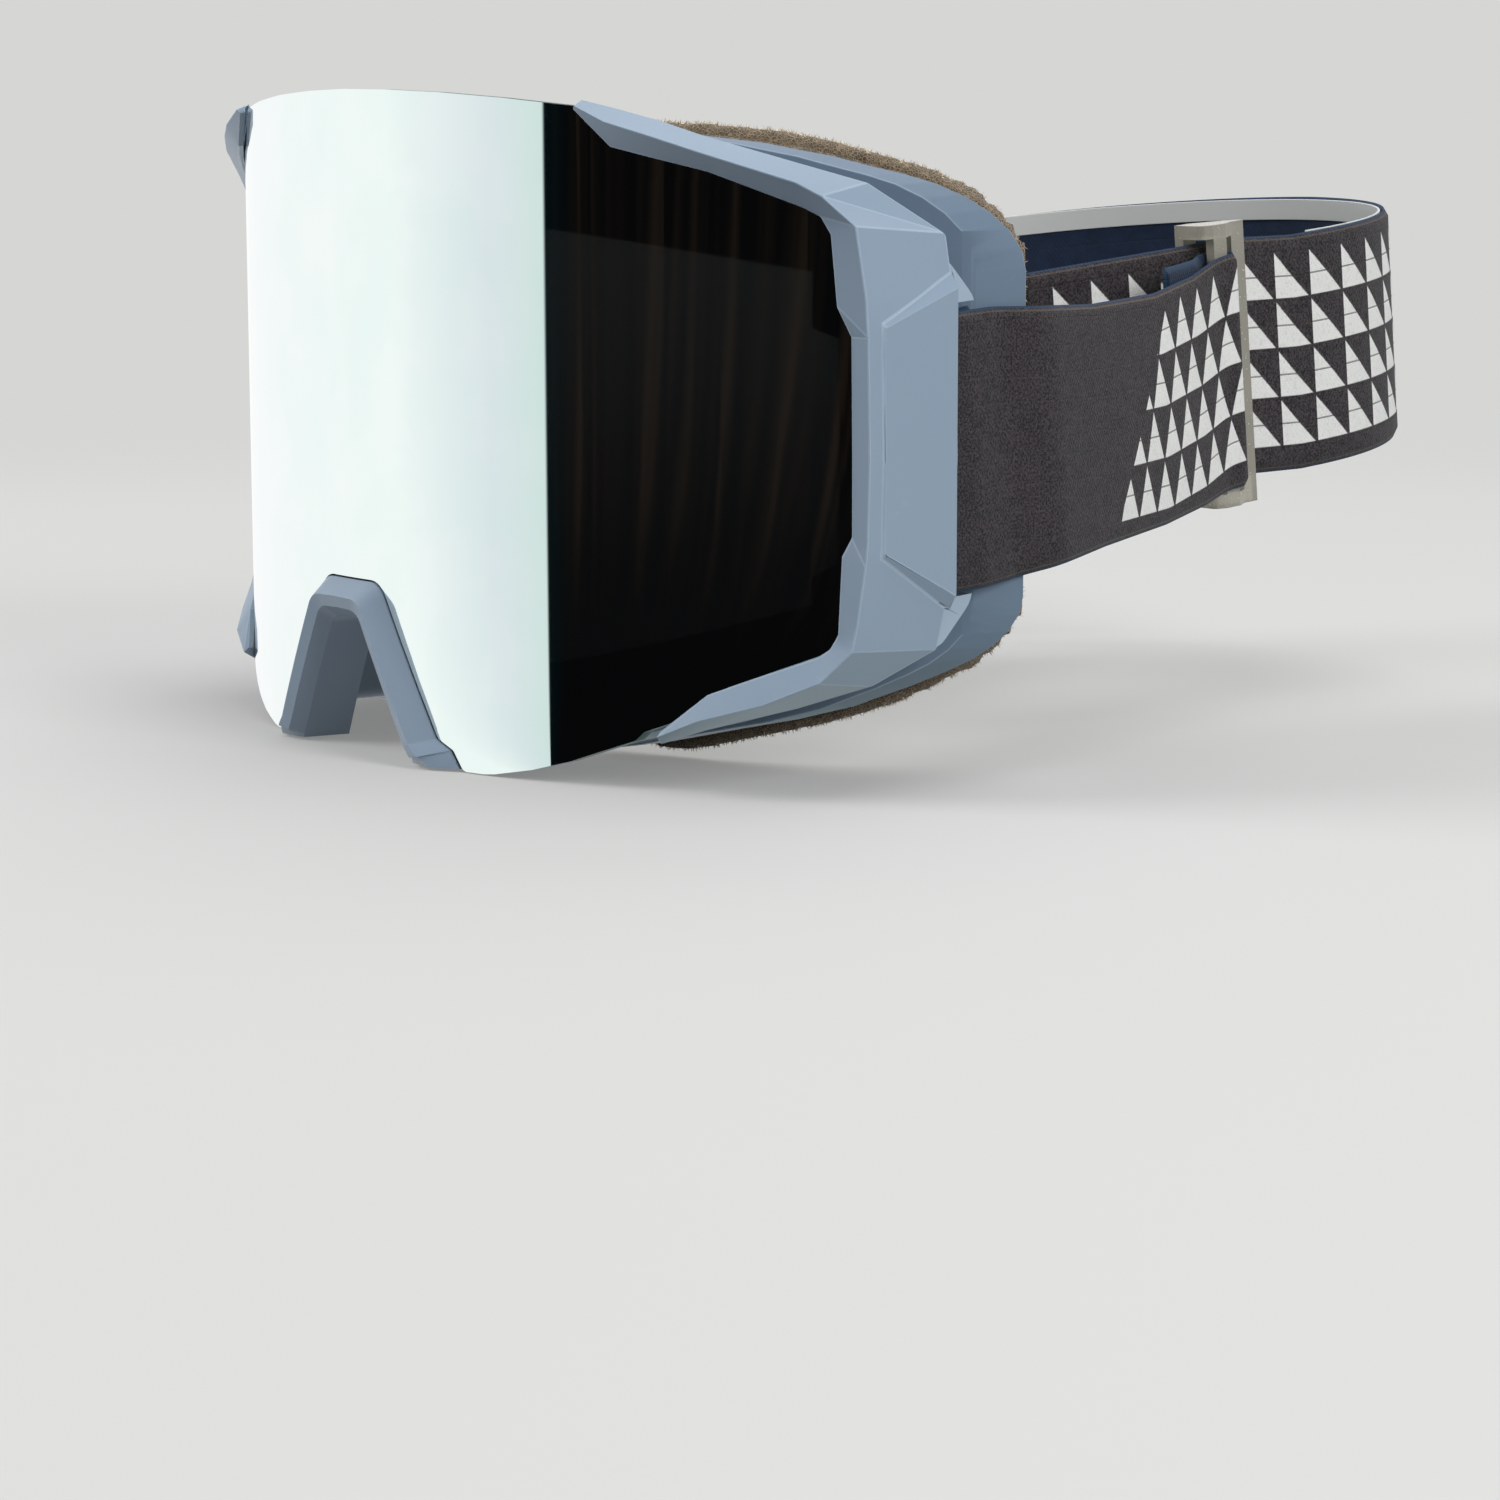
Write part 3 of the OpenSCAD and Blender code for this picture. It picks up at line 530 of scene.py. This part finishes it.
def finish_node(name, finish, edge, angle=28.0, segments=2):
    """A plain solid, whose edges above an angle in degrees are rounded."""
    round_edges(dress(name, WELD, finish), edge, segments, angle, "MITER_ARC")


def finish_moulding(name, finish, lighter, edge, weld):
    """A moulding with crisp facets, whose edges carry bevel weights and take a lighter material: a painted
    highlight along them.
    """
    round_edges(dress(name, weld, finish, lighter), edge, 2, lighter=True)


COVER = plastic("cover_blue", paint(139, 158, 178), paint(186, 200, 214))
# the edge materials are lighter than their pieces: a painted highlight along the bevelled edges
COVER_EDGE_HIGHLIGHT = plastic("cover_blue_edge_highlight", paint(158, 177, 196), paint(200, 212, 224), 0.3)
FRAME_EDGE_HIGHLIGHT = plastic("frame_blue_edge_highlight", paint(140, 159, 178), paint(180, 194, 208), 0.32)
FRAME = plastic("frame_blue", paint(104, 123, 143), paint(148, 164, 180), 0.54)
PLATE = plastic("plate_blue", paint(164, 182, 200), paint(204, 216, 226))
RUBBER = plastic("lens_gasket", paint(22, 22, 24), paint(48, 48, 50), 0.7, 1500.0, 0.00005)
SILICONE = plastic("silicone", paint(198, 200, 198), paint(226, 228, 226), 0.35,
                   extra={"Coat Weight": 0.3, "Coat Roughness": 0.3})
SLIDER = plastic("slider_clear", paint(188, 183, 170), paint(222, 218, 206), 0.24, 1500.0,
                 extra={"Transmission Weight": 0.45, "IOR": 1.49})

finish_node("outer_lens", mirror_lens(), 0.18)
finish_node("inner_lens", tinted_lens(), 0.12)
finish_node("lens_gasket", RUBBER, 0.2)
finish_moulding("main_frame", FRAME, FRAME_EDGE_HIGHLIGHT, 0.18, FRAME_WELD)
for hand in ("right", "left"):
    finish_moulding("side_cover_" + hand, COVER, COVER_EDGE_HIGHLIGHT, 0.3, COVER_WELD)
    finish_node("anchor_plate_" + hand, PLATE, 0.3, 34.0)
    finish_node("slider_" + hand, SLIDER, 0.75, 34.0, 4)
finish_node("anchor_screws", screw_steel(), 0.12, 40.0)
finish_node("grip_print", SILICONE, 0.16, 40.0)


# Meshes from points

def mesh_piece(name, points, faces, finish, body, smooth=True):
    """A new piece that rides on a body of the frame."""
    mesh = bpy.data.meshes.new(name)
    mesh.from_pydata(points.tolist(), [], faces)
    mesh.materials.append(finish)
    mesh.update()
    if smooth:
        mesh.shade_smooth()
    piece = bpy.data.objects.new(name, mesh)
    bpy.context.scene.collection.objects.link(piece)
    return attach(piece, body)


def keep_values(piece, label, values):
    attribute = piece.data.attributes.new(label, "FLOAT", "POINT")
    attribute.data.foreach_set("value", np.asarray(values, np.float32).ravel())


def tube_quads(stations, ring):
    """The quads of a tube: a point, the next one round its ring, and the same two a ring on."""
    for i in range(stations - 1):
        for j in range(ring):
            k = (j + 1) % ring
            yield i * ring + j, i * ring + k, (i + 1) * ring + k, (i + 1) * ring + j


def unit(rows):
    return rows / np.maximum(np.linalg.norm(rows, axis=1), 1e-6)[:, None]


def eased(share):
    """A share with soft ends, cut to 0 and 1 where it lies outside them."""
    share = np.clip(share, 0, 1)
    return share * share * (3 - 2 * share)


def turned_corner(a, b, c, radius, step=4.0):
    """The points of a rounded bend at b, one about every step degrees."""
    least_radius, least_points, most_of_side = 0.05, 3, 0.47
    a, b, c = (np.array(p, float) for p in (a, b, c))
    u, v = (a - b) / np.linalg.norm(a - b), (c - b) / np.linalg.norm(c - b)
    half = math.acos(max(-1.0, min(1.0, float(u @ v)))) / 2
    room = most_of_side * min(np.linalg.norm(a - b), np.linalg.norm(c - b))
    radius = min(radius, room * math.tan(half))
    if radius < least_radius:
        return [b]
    centre = b + (u + v) / np.linalg.norm(u + v) * radius / math.sin(half)
    p, q = b + u * radius / math.tan(half), b + v * radius / math.tan(half)
    start = math.atan2(*(p - centre)[::-1])
    sweep = (math.atan2(*(q - centre)[::-1]) - start + math.pi) % (2 * math.pi) - math.pi
    count = max(least_points, int(abs(math.degrees(sweep)) / step))
    turns = [start + sweep * i / count for i in range(count + 1)]
    return [centre + radius * np.array([math.cos(t), math.sin(t)]) for t in turns]


# Nose rim: a moulded ridge that stands in front of the lens along its nose cut

def even_corners(corners, bend_steps, straight_steps):
    """A path in x and z with the same number of points in each bend and each straight run."""
    bends = []
    for before, here, after in zip(corners, corners[1:], corners[2:]):
        arc = np.array(turned_corner(before[:2], here[:2], after[:2], here[2], 1.0))
        share = np.linspace(0, len(arc) - 1, bend_steps)
        bends.append(np.stack([np.interp(share, range(len(arc)), arc[:, j]) for j in (0, 1)], 1))
    stops = [np.array([corners[0][:2]], float)] + bends + [np.array([corners[-1][:2]], float)]
    points = [stops[0]]
    for before, after in zip(stops, stops[1:]):
        share = np.linspace(0, 1, straight_steps + 1)[1:-1, None]
        points += [before[-1] + (after[0] - before[-1]) * share, after]
    return np.concatenate(points)


def on_lens(x, z, lift):
    """A front view place on the outer face of the lens, lifted off it, in metres."""
    angle, r = np.arcsin(x / LENS_RADIUS), LENS_RADIUS + lift
    return np.stack([r * np.sin(angle), LENS_FRONT + LENS_RADIUS - r * np.cos(angle), z], -1) * MM


def nose_rim():
    """Three edges run from the middle of the arch down to a foot, as x, z and corner radius."""
    outer, ridge, inner = (even_corners(corners, bend_steps=7, straight_steps=6) for corners in (
        [(0, 28.9), (8.4, 28.9, 4.2), (22.5, 4.7, 1.2), (25.8, 3.1, 1.0), (27.7, 0.3)],
        [(0, 26.4), (7.0, 26.2, 3.8), (19.7, 3.9, 2.0), (21.6, 2.0, 1.0), (23.2, 0.3)],
        [(0, 22.8), (4.8, 22.6, 3.4), (16.3, 2.4, 1.0), (17.0, 1.2, 0.5), (17.5, 0.3)]))
    # lifts off the lens: the back of the rim, its two seams, and its ridge, lower at the foot
    back, outer_seam, inner_seam, ridge_lift, foot_drop = -7.6, 0.25, 0.7, 3.7, 1.6
    foot_start, facet_share, facet_drop = 0.62, 0.45, 0.8
    count = len(outer)
    foot = np.clip((np.arange(count) - count * foot_start) / (count * (1 - foot_start)), 0, 1)
    front = ridge_lift - foot_drop * foot * foot
    facet = inner + (ridge - inner) * facet_share
    section = [(outer, back), (outer, outer_seam), (ridge, front), (facet, front - facet_drop),
               (inner, inner_seam), (inner, back)]
    size = len(section)
    half = np.stack([on_lens(path[:, 0], path[:, 1], lift) for path, lift in section], 1)
    other = half[:0:-1] * np.array([-1, 1, 1])
    rows = np.concatenate([other, half])
    faces = [(a, d, c, b) for a, b, c, d in tube_quads(len(rows), size)]
    last = (len(rows) - 1) * size
    faces += [tuple(range(size)), tuple(last + j for j in reversed(range(size)))]
    piece = mesh_piece("nose_rim_moulding", rows.reshape(-1, 3), faces, COVER, "mask")
    # the bevels take the lighter edge material: a painted highlight along the rim's edges
    piece.data.materials.append(COVER_EDGE_HIGHLIGHT)
    round_edges(piece, 0.4, 3, 24.0, lighter=True)
    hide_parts("nose_rim")


nose_rim()


# Foam: the solid's own form, remeshed, with its edges softened and its skin uneven

def vectors(mesh, kind):
    """A mesh's points, for the kind co, or their normals, for the kind normal."""
    flat = np.zeros(len(mesh.vertices) * 3)
    mesh.vertices.foreach_get(kind, flat)
    return flat.reshape(-1, 3)


def ripple(points, size, seed):
    """Smooth uneven values of about -1 to 1, from a few sine waves in seeded directions."""
    waves, usual_sum = 9, 3.4
    own = np.random.default_rng(seed)
    total = np.zeros(len(points))
    for _ in range(waves):
        direction = own.normal(size=3)
        direction *= 2 * math.pi / (size * MM * own.uniform(0.6, 1.7)) / np.linalg.norm(direction)
        total += np.sin(points @ direction + own.uniform(0, 7))
    return total / usual_sum


def face_outline(half_width):
    """The face side's closed outline, x and z in metres, with its corners rounded. Each corner
    of the right half is x, z, its radius and how much of half_width is added to x."""
    corners = [(9.4, 30.6, 5, 0), (24.6, 4.9, 5, 0), (37, 2.8, 20, 0), (26, 10.6, 40, 0.5),
               (0, 21, 14, 1), (0, 91, 17, 1), (19, 99, 40, 0.5), (28, 103.4, 60, 0), (0, 104.6, 0, 0)]
    right = [(x + share * half_width, z, radius) for x, z, radius, share in corners]
    loop = right + [(-x, z, radius) for x, z, radius in reversed(right) if x > 0]
    points = []
    for before, here, after in zip(loop[-1:] + loop[:-1], loop, loop[1:] + loop[:1]):
        points += turned_corner(before[:2], here[:2], after[:2], here[2], 6.0)
    return np.array(points) * MM


def bulge(points, half_width, reach):
    """Moves the points near the outer edge outwards, so that the soft layer swells past its rim."""
    swell_width, brow_height, crown_start, crown_fade = 6.0, 60, 16, 34
    loop = face_outline(half_width)
    ahead = np.roll(loop, -1, axis=0) - loop
    flat = points[:, [0, 2]]
    best = np.full(len(points), np.inf)
    nearest = flat.copy()
    for start, side in zip(loop, ahead):
        share = np.clip(((flat - start) @ side) / max(side @ side, 1e-12), 0, 1)
        spot = start + share[:, None] * side
        gap = np.linalg.norm(flat - spot, axis=1)
        closer = gap < best
        best[closer], nearest[closer] = gap[closer], spot[closer]
    share = eased(1 - best / (swell_width * MM))
    # none at the middle of the brow
    crown = eased((np.abs(points[:, 0]) / MM - crown_start) / crown_fade)
    share *= np.where(points[:, 2] > brow_height * MM, crown, 1.0)
    points[:, [0, 2]] += unit(nearest - flat) * (share * reach * MM)[:, None]


def soft_piece(node, name, finish, voxel, rounds, uneven, swell=None):
    """A foam solid as one soft skin: voxel is its mesh's size, rounds says how often it is
    smoothed, uneven is how far its skin waves, and swell is what bulge takes."""
    mesh = nodes[node].data.copy()
    mesh.name = name
    piece = bpy.data.objects.new(name, mesh)
    bpy.context.scene.collection.objects.link(piece)
    piece.modifiers.new("weld", "NODES").node_group = WELD
    remesh = piece.modifiers.new("remesh", "REMESH")
    remesh.mode, remesh.voxel_size, remesh.use_smooth_shade = "VOXEL", voxel * MM, True
    soften = piece.modifiers.new("soften", "SMOOTH")
    soften.factor, soften.iterations = 0.5, rounds
    settled = bpy.data.meshes.new_from_object(piece.evaluated_get(bpy.context.evaluated_depsgraph_get()))
    piece.modifiers.clear()
    piece.data = settled
    settled.name = name
    points = vectors(settled, "co")
    waves = ripple(points, 9.0, 3) * 0.6 + ripple(points, 2.6, 5) * 0.4
    points += vectors(settled, "normal") * (waves * uneven * MM)[:, None]
    if swell:
        bulge(points, *swell)
    settled.vertices.foreach_set("co", points.ravel())
    settled.materials.clear()
    settled.materials.append(finish)
    settled.shade_smooth()
    settled.update()
    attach(piece, "mask")
    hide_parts(node)
    return piece


# each foam's second colour is the painted shade in its pores
FIRM = foam("firm_foam", paint(66, 66, 68), paint(14, 14, 15), 1500.0)
SOFT = foam("soft_foam", paint(138, 124, 106), paint(34, 30, 26), 1300.0)
BACKING = foam("fleece", paint(158, 140, 115), paint(92, 80, 65), 1900.0, sheen=0.3)
VENT = foam("vent_foam", paint(44, 44, 46), paint(6, 6, 7), 900.0, 0.0005)

soft_piece("foam_base", "face_foam_firm", FIRM, 0.9, 4, 0.07)
soft_piece("foam_mid", "face_foam_soft", SOFT, 0.9, 8, 0.04, swell=(79.5, 1.2))
fleece = soft_piece("foam_fleece", "face_fleece", BACKING, 0.8, 8, 0.04, swell=(76.0, 2.6))
soft_piece("vent_foam_top", "vent_foam_upper", VENT, 0.7, 2, 0.03)
soft_piece("vent_foam_bottom", "vent_foam_lower", VENT, 0.7, 2, 0.03)


def pile(under, count, length, thick):
    """Short threads stood on the fleece's free faces, each a closed sliver with three sides."""
    # a side that looks further than this from the axis is glued to the foam and has no pile
    glued, splay, root_depth = -0.55, 0.42, 0.25
    mesh = under.data
    mesh.calc_loop_triangles()
    points, normals = vectors(mesh, "co"), vectors(mesh, "normal")
    corners = np.zeros(len(mesh.loop_triangles) * 3, int)
    mesh.loop_triangles.foreach_get("vertices", corners)
    corners = corners.reshape(-1, 3)
    a, b, c = (points[corners[:, k]] for k in range(3))
    faces_out = np.cross(b - a, c - a)
    area = np.linalg.norm(faces_out, axis=1) / 2
    axis = np.array([0.0, (LENS_FRONT + FACE_AXIS) * MM])
    to_axis = unit(axis - ((a + b + c) / 3)[:, :2])
    towards = (faces_out[:, :2] * to_axis).sum(1) / np.maximum(2 * area, 1e-12)
    weight = area * (towards > glued)
    chosen = rng.choice(len(corners), count, p=weight / weight.sum())
    u, v = rng.uniform(size=(2, count))
    over = u + v > 1
    u[over], v[over] = 1 - u[over], 1 - v[over]
    root = a[chosen] + u[:, None] * (b - a)[chosen] + v[:, None] * (c - a)[chosen]
    out = unit(normals[corners[chosen]].mean(1) + rng.normal(scale=splay, size=(count, 3)))
    first = unit(np.cross(out, rng.normal(size=(count, 3))))
    second = np.cross(out, first)
    reach = rng.uniform(*length, size=count)[:, None] * MM
    wide = rng.uniform(*thick, size=count)[:, None] * MM
    base = root - out * root_depth * MM
    thirds = [2 * math.pi * k / 3 for k in range(3)]
    ring = [base + wide * (first * math.cos(t) + second * math.sin(t)) for t in thirds]
    stacked = np.stack([*ring, root + out * reach], 1).reshape(-1, 3)
    start = np.arange(count)[:, None] * 4
    faces = np.concatenate([start + np.array(f) for f in ((0, 1, 3), (1, 2, 3), (2, 0, 3), (0, 2, 1))])
    piece = mesh_piece("fleece_pile", stacked, faces.tolist(), pile_thread(), "mask", smooth=False)
    keep_values(piece, "shade", np.repeat(rng.uniform(size=count), 4))


pile(fleece, 42000, (0.35, 0.85), (0.08, 0.15))


# Webbing

def even_steps(points, spacing):
    """A plan path cut into even steps, and how far along it each step lies."""
    gone = np.concatenate([[0], np.cumsum(np.linalg.norm(np.diff(points, axis=0), axis=1))])
    even = np.linspace(0, gone[-1], int(gone[-1] / spacing) + 1)
    return np.stack([np.interp(even, gone, points[:, k]) for k in (0, 1)], 1), even


def profile(place, *stops):
    """Values at each place along the strap, from stops of a place and its value."""
    places, values = zip(*stops)
    return np.interp(place, places, values)


def from_strap(x, along, up):
    """From the strap's own frame, in millimetres, to the model's frame in metres."""
    y = ANCHOR[0] + along * math.cos(LIFT) - up * math.sin(LIFT) + LENS_FRONT
    z = ANCHOR[1] + along * math.sin(LIFT) + up * math.cos(LIFT)
    return np.stack([x, y, z], -1) * MM


def web_strip(name, path, along, width, middle, bow, finish, body, node, mirrored=False):
    """A strip of webbing along a plan path, with its outside on the path's right. along, width,
    middle and bow are values at each step: its place on the strap, its width, the height of its
    middle line and how far it stands out between its edges."""
    across_count, edge_round = 30, 0.7
    bead, bead_place, bead_width = 0.05, 0.9, 0.5
    groove, groove_place, groove_width = 0.07, 2.0, 0.35
    ahead = unit(np.gradient(path, axis=0))
    out = np.stack([ahead[:, 1], -ahead[:, 0]], 1)
    # one ring of points goes down the outside and back up the inside
    outside = np.linspace(1, -1, across_count + 1)
    share = np.concatenate([outside, -outside])
    face = np.repeat([1.0, -1.0], across_count + 1)
    half = width[:, None] / 2
    up = share * half
    from_edge = half - np.abs(up)
    rounded = np.sqrt(1 - np.clip(1 - from_edge / edge_round, 0, 1) ** 2)
    selvedge = (bead * np.exp(-((from_edge - bead_place) / bead_width) ** 2)
                - groove * np.exp(-((from_edge - groove_place) / groove_width) ** 2))
    rise = face * (WEB_THICK / 2 * rounded + selvedge) + bow[:, None] * (1 - share * share)
    plan = path[:, None] + out[:, None] * rise[..., None]
    x = -plan[..., 0] if mirrored else plan[..., 0]
    points = from_strap(x, plan[..., 1], middle[:, None] + up).reshape(-1, 3)
    stations, ring = up.shape
    quads = list(tube_quads(stations, ring))
    for base, order in ((0, 1), ((stations - 1) * ring, -1)):
        for j in range(across_count):
            quads.append((base + j, base + ring - 1 - j, base + ring - 2 - j, base + j + 1)[::order])
    piece = mesh_piece(name, points, [quad[::-1] for quad in quads] if mirrored else quads, finish, body)
    keep_values(piece, "along", np.repeat(along, ring))
    keep_values(piece, "across", up)
    keep_values(piece, "side", face * rounded)
    keep_values(piece, "half", np.repeat(half, ring))
    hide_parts(node)


def front_strap_corners():
    """The front strap's plan path, the same as in the solid model: the tail by the anchor bar,
    the loop round that bar, the run to the slider, the loop round its bar and the second tail."""
    gap, rim, rim_radius, half_width = 0.3, 83.0, 94.05, 22
    bar_in, bar_out, bar_half = rim + 1.2, rim + 2.6, 1.8
    loop = gap + WEB_THICK / 2
    bend_out, bend_in = bar_out + loop, bar_in - loop
    front_y, front_x = SLIDER_PLACE + 2, STRAP_RUN + WEB_THICK / 2 + 2 * gap + WEB_THICK + 1
    run_x = front_x + 1 + loop
    # the run starts where the strap, over its whole width, has passed the frame's rear rim
    rim_back, rim_clearance = FACE_AXIS - math.sqrt(rim_radius ** 2 - rim ** 2), 2.5
    pass_y = (rim_back - ANCHOR[0]) / math.cos(LIFT) + half_width * math.tan(LIFT)
    start, end = np.array([rim + 1.2, pass_y + rim_clearance]), np.array([run_x + 0.6, front_y - 3])
    forward = (start - end) / np.linalg.norm(start - end)
    inward = np.array([forward[1], -forward[0]])
    # the second tail lies against the inside of the run
    tail_start, tail_end, tail_inward = 6.5, 19.0, 1.45
    tail = [end + d * forward + tail_inward * inward for d in (tail_start, tail_end)]
    return [(bend_out - WEB_THICK - 1.2, 11.8, 0), (bend_out - WEB_THICK - 0.25, 8.4, 2),
            (bend_in, 3.2, 2), (bend_in, -bar_half - loop, 1.2), (bend_out, -bar_half - loop, 1.2),
            (bend_out, 9, 8), (rim + 1.4, 17, 10), (*start, 14), (*end, 14),
            (run_x, front_y + 1.5 + loop, 1.2), (front_x - 1 - loop, front_y + 1.5 + loop, 1.2),
            (front_x - 1 - loop, front_y - 2.5, 2), (*tail[0], 2), (*tail[1], 0)]


def front_straps():
    """Both front straps. Places along them count from beside the anchor bar."""
    bar_x, spacing = 86.4, 0.8
    corners = front_strap_corners()
    points = [np.array(corners[0][:2], float)]
    for before, here, after in zip(corners, corners[1:], corners[2:]):
        points += turned_corner(before[:2], here[:2], after[:2], here[2])
    points.append(np.array(corners[-1][:2], float))
    path, gone = even_steps(np.array(points), spacing)
    place = gone - gone[np.argmax((path[:, 0] > bar_x) & (path[:, 1] > 0))]
    middle = profile(place, (0, 0), (18, -0.5), (28, -0.9), (45, -1.9), (70, -3.0), (87, -2.4), (99, -1.0),
                     (106, -0.6))
    width = profile(place, (2, 43.8), (15, 43.4), (27, 41.6), (45, 39.8), (70, 39.2), (87, 39.8), (101, 40.8))
    bow = profile(place, (24, 0), (34, 0.25), (50, 0.6), (72, 0.5), (86, 0))
    printed = webbing("strap_front_print", {"pitch": 7.6, "height": 8.7, "apex": 0.5, "shift": 0.5,
                                            "margin": 2.0, "first": 75.1, "slant": 0.72})
    for hand in ("right", "left"):
        web_strip("front_strap_" + hand, path, place, width, middle, bow, printed, "mask",
                  "strap_front_" + hand, mirrored=hand == "left")


def back_strap():
    """The back strap, from its right tail round the head to its left tail. Places along it count
    from the start of the bend."""
    bend, tail_length, spacing = 119.5, 39.0, 1.0
    start = SLIDER_PLACE - tail_length
    turns = np.linspace(0, math.pi, 181)[1:-1]
    arc = [(STRAP_RUN * math.cos(t), bend + STRAP_RUN * math.sin(t)) for t in turns]
    points = np.array([(STRAP_RUN, start), (STRAP_RUN, bend), *arc, (-STRAP_RUN, bend), (-STRAP_RUN, start)])
    path, even = even_steps(points, spacing)
    total = even[-1]
    middle = profile(even, (0, 0), (48, 0.6), (62, -0.4), (total / 2, 0.2), (total - 62, -0.4),
                     (total - 48, 0.6), (total, 0))
    printed = webbing("strap_back_print", {"pitch": 8.6, "height": 8.75, "apex": 0.0, "shift": 0.0,
                                           "margin": 2.9, "first": -400.0, "slant": 0.0})
    web_strip("back_strap_web", path, even - (bend - start), np.full(len(even), 42.0), middle,
              np.zeros(len(even)), printed, "back_strap", "strap_back")


front_straps()
back_strap()


# Floor, light and what the mirror sees

def pale_floor():
    """Pale to the camera, grey in the light that it throws back, and the room to the mirror."""
    made, b, shader = material("pale_floor")
    path, where = b.add("LightPath").outputs, b.place()
    tone = b.blend(b.times(b.noise(14.0, 3.0), 0.1), PALE, paint(206, 206, 204))
    b.fill(shader, {"Base Color": b.blend(path["Is Diffuse Ray"], tone, paint(128, 128, 128)),
                    "Roughness": 0.85, "Specular IOR Level": 0.1})
    lens_side = (46 * MM, (LENS_FRONT + 8.7) * MM, 0.0)
    room = use(b, ROOM, place=b.vector("SUBTRACT", where, lens_side))
    glow = b.add("Emission", None, {"Color": room["Colour"], "Strength": 1.0})
    haze = b.add("Emission", None, {"Color": PALE, "Strength": 1.0})
    far = b.step(b.vector("LENGTH", where), 0.24, 0.8)
    share = b.times(b.math("MAXIMUM", far, 0.3), path["Is Camera Ray"])
    own = made.node_tree.nodes
    seen = b.add("MixShader", None, {0: share, 1: own["Principled BSDF"].outputs[0], 2: haze.outputs[0]})
    both = b.add("MixShader", None, {0: path["Is Glossy Ray"], 1: seen.outputs[0], 2: glow.outputs[0]})
    b.feed(both.outputs[0], own["Material Output"].inputs["Surface"])
    return made


def stage_floor():
    """A round floor, a hair under the goggles, whose rings grow wider outwards."""
    rings, around, reach, crowding, drop = 40, 96, 9.0, 2.2, 0.0002
    turns = [2 * math.pi * k / around for k in range(around)]
    points = [(0.0, 0.0, 0.0)]
    for i in range(1, rings + 1):
        r = reach * (i / rings) ** crowding
        points += [(r * math.cos(t), r * math.sin(t), 0.0) for t in turns]
    faces = [(0, 1 + k, 1 + (k + 1) % around) for k in range(around)]
    for low in range(1, 1 + (rings - 1) * around, around):
        high = low + around
        faces += [(low + k, high + k, high + (k + 1) % around, low + (k + 1) % around) for k in range(around)]
    mesh = bpy.data.meshes.new("stage_floor")
    mesh.from_pydata(points, [], faces)
    mesh.materials.append(pale_floor())
    floor = bpy.data.objects.new("stage_floor", mesh)
    floor.location.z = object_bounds()[0].z - drop
    bpy.context.scene.collection.objects.link(floor)
    floor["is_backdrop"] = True


def stage_room():
    """The world: the room in the mirror, pale to the camera, and a dim even light on the rest."""
    world = bpy.data.worlds.new("room")
    bpy.context.scene.world = world
    world.use_nodes = True
    b = Bench(world.node_tree)
    path = b.add("LightPath").outputs
    room = use(b, ROOM, place=b.add("TexCoord").outputs["Generated"])
    shown = b.blend(path["Is Glossy Ray"], PALE, room["Colour"])
    direct = b.chain("MAXIMUM", path["Is Camera Ray"], path["Is Glossy Ray"], path["Is Transmission Ray"])
    b.fill(world.node_tree.nodes["Background"].inputs,
           {"Color": b.blend(direct, (0.27, 0.275, 0.285, 1), shown), "Strength": 1.0})


def soft_lamp(name, place, target, size, watts):
    """A square lamp that lights the object but is not seen itself, nor in the mirror."""
    data = bpy.data.lights.new(name, "AREA")
    data.shape, data.size, data.size_y, data.energy = "RECTANGLE", size, size, watts
    lamp = bpy.data.objects.new(name, data)
    lamp.location = place
    lamp.rotation_euler = (Vector(target) - Vector(place)).to_track_quat("-Z", "Y").to_euler()
    lamp.visible_glossy = False
    lamp.visible_camera = False
    bpy.context.scene.collection.objects.link(lamp)


stage_floor()
stage_room()
soft_lamp("lamp_top", (0.25, 0.25, 1.35), (0.0, 0.0, 0.05), 0.8, 5.8)
soft_lamp("lamp_left", (-0.75, -1.05, 0.85), (0.0, 0.0, 0.05), 0.8, 12.0)
soft_lamp("lamp_back", (-0.75, 0.95, 1.3), (-0.4, 0.45, 0.0), 1.2, 8.0)
soft_lamp("lamp_right", (1.3, 0.0, 0.62), (0.05, 0.0, 0.05), 0.6, 10.5)

scene = bpy.context.scene
scene.view_settings.view_transform = "Standard"
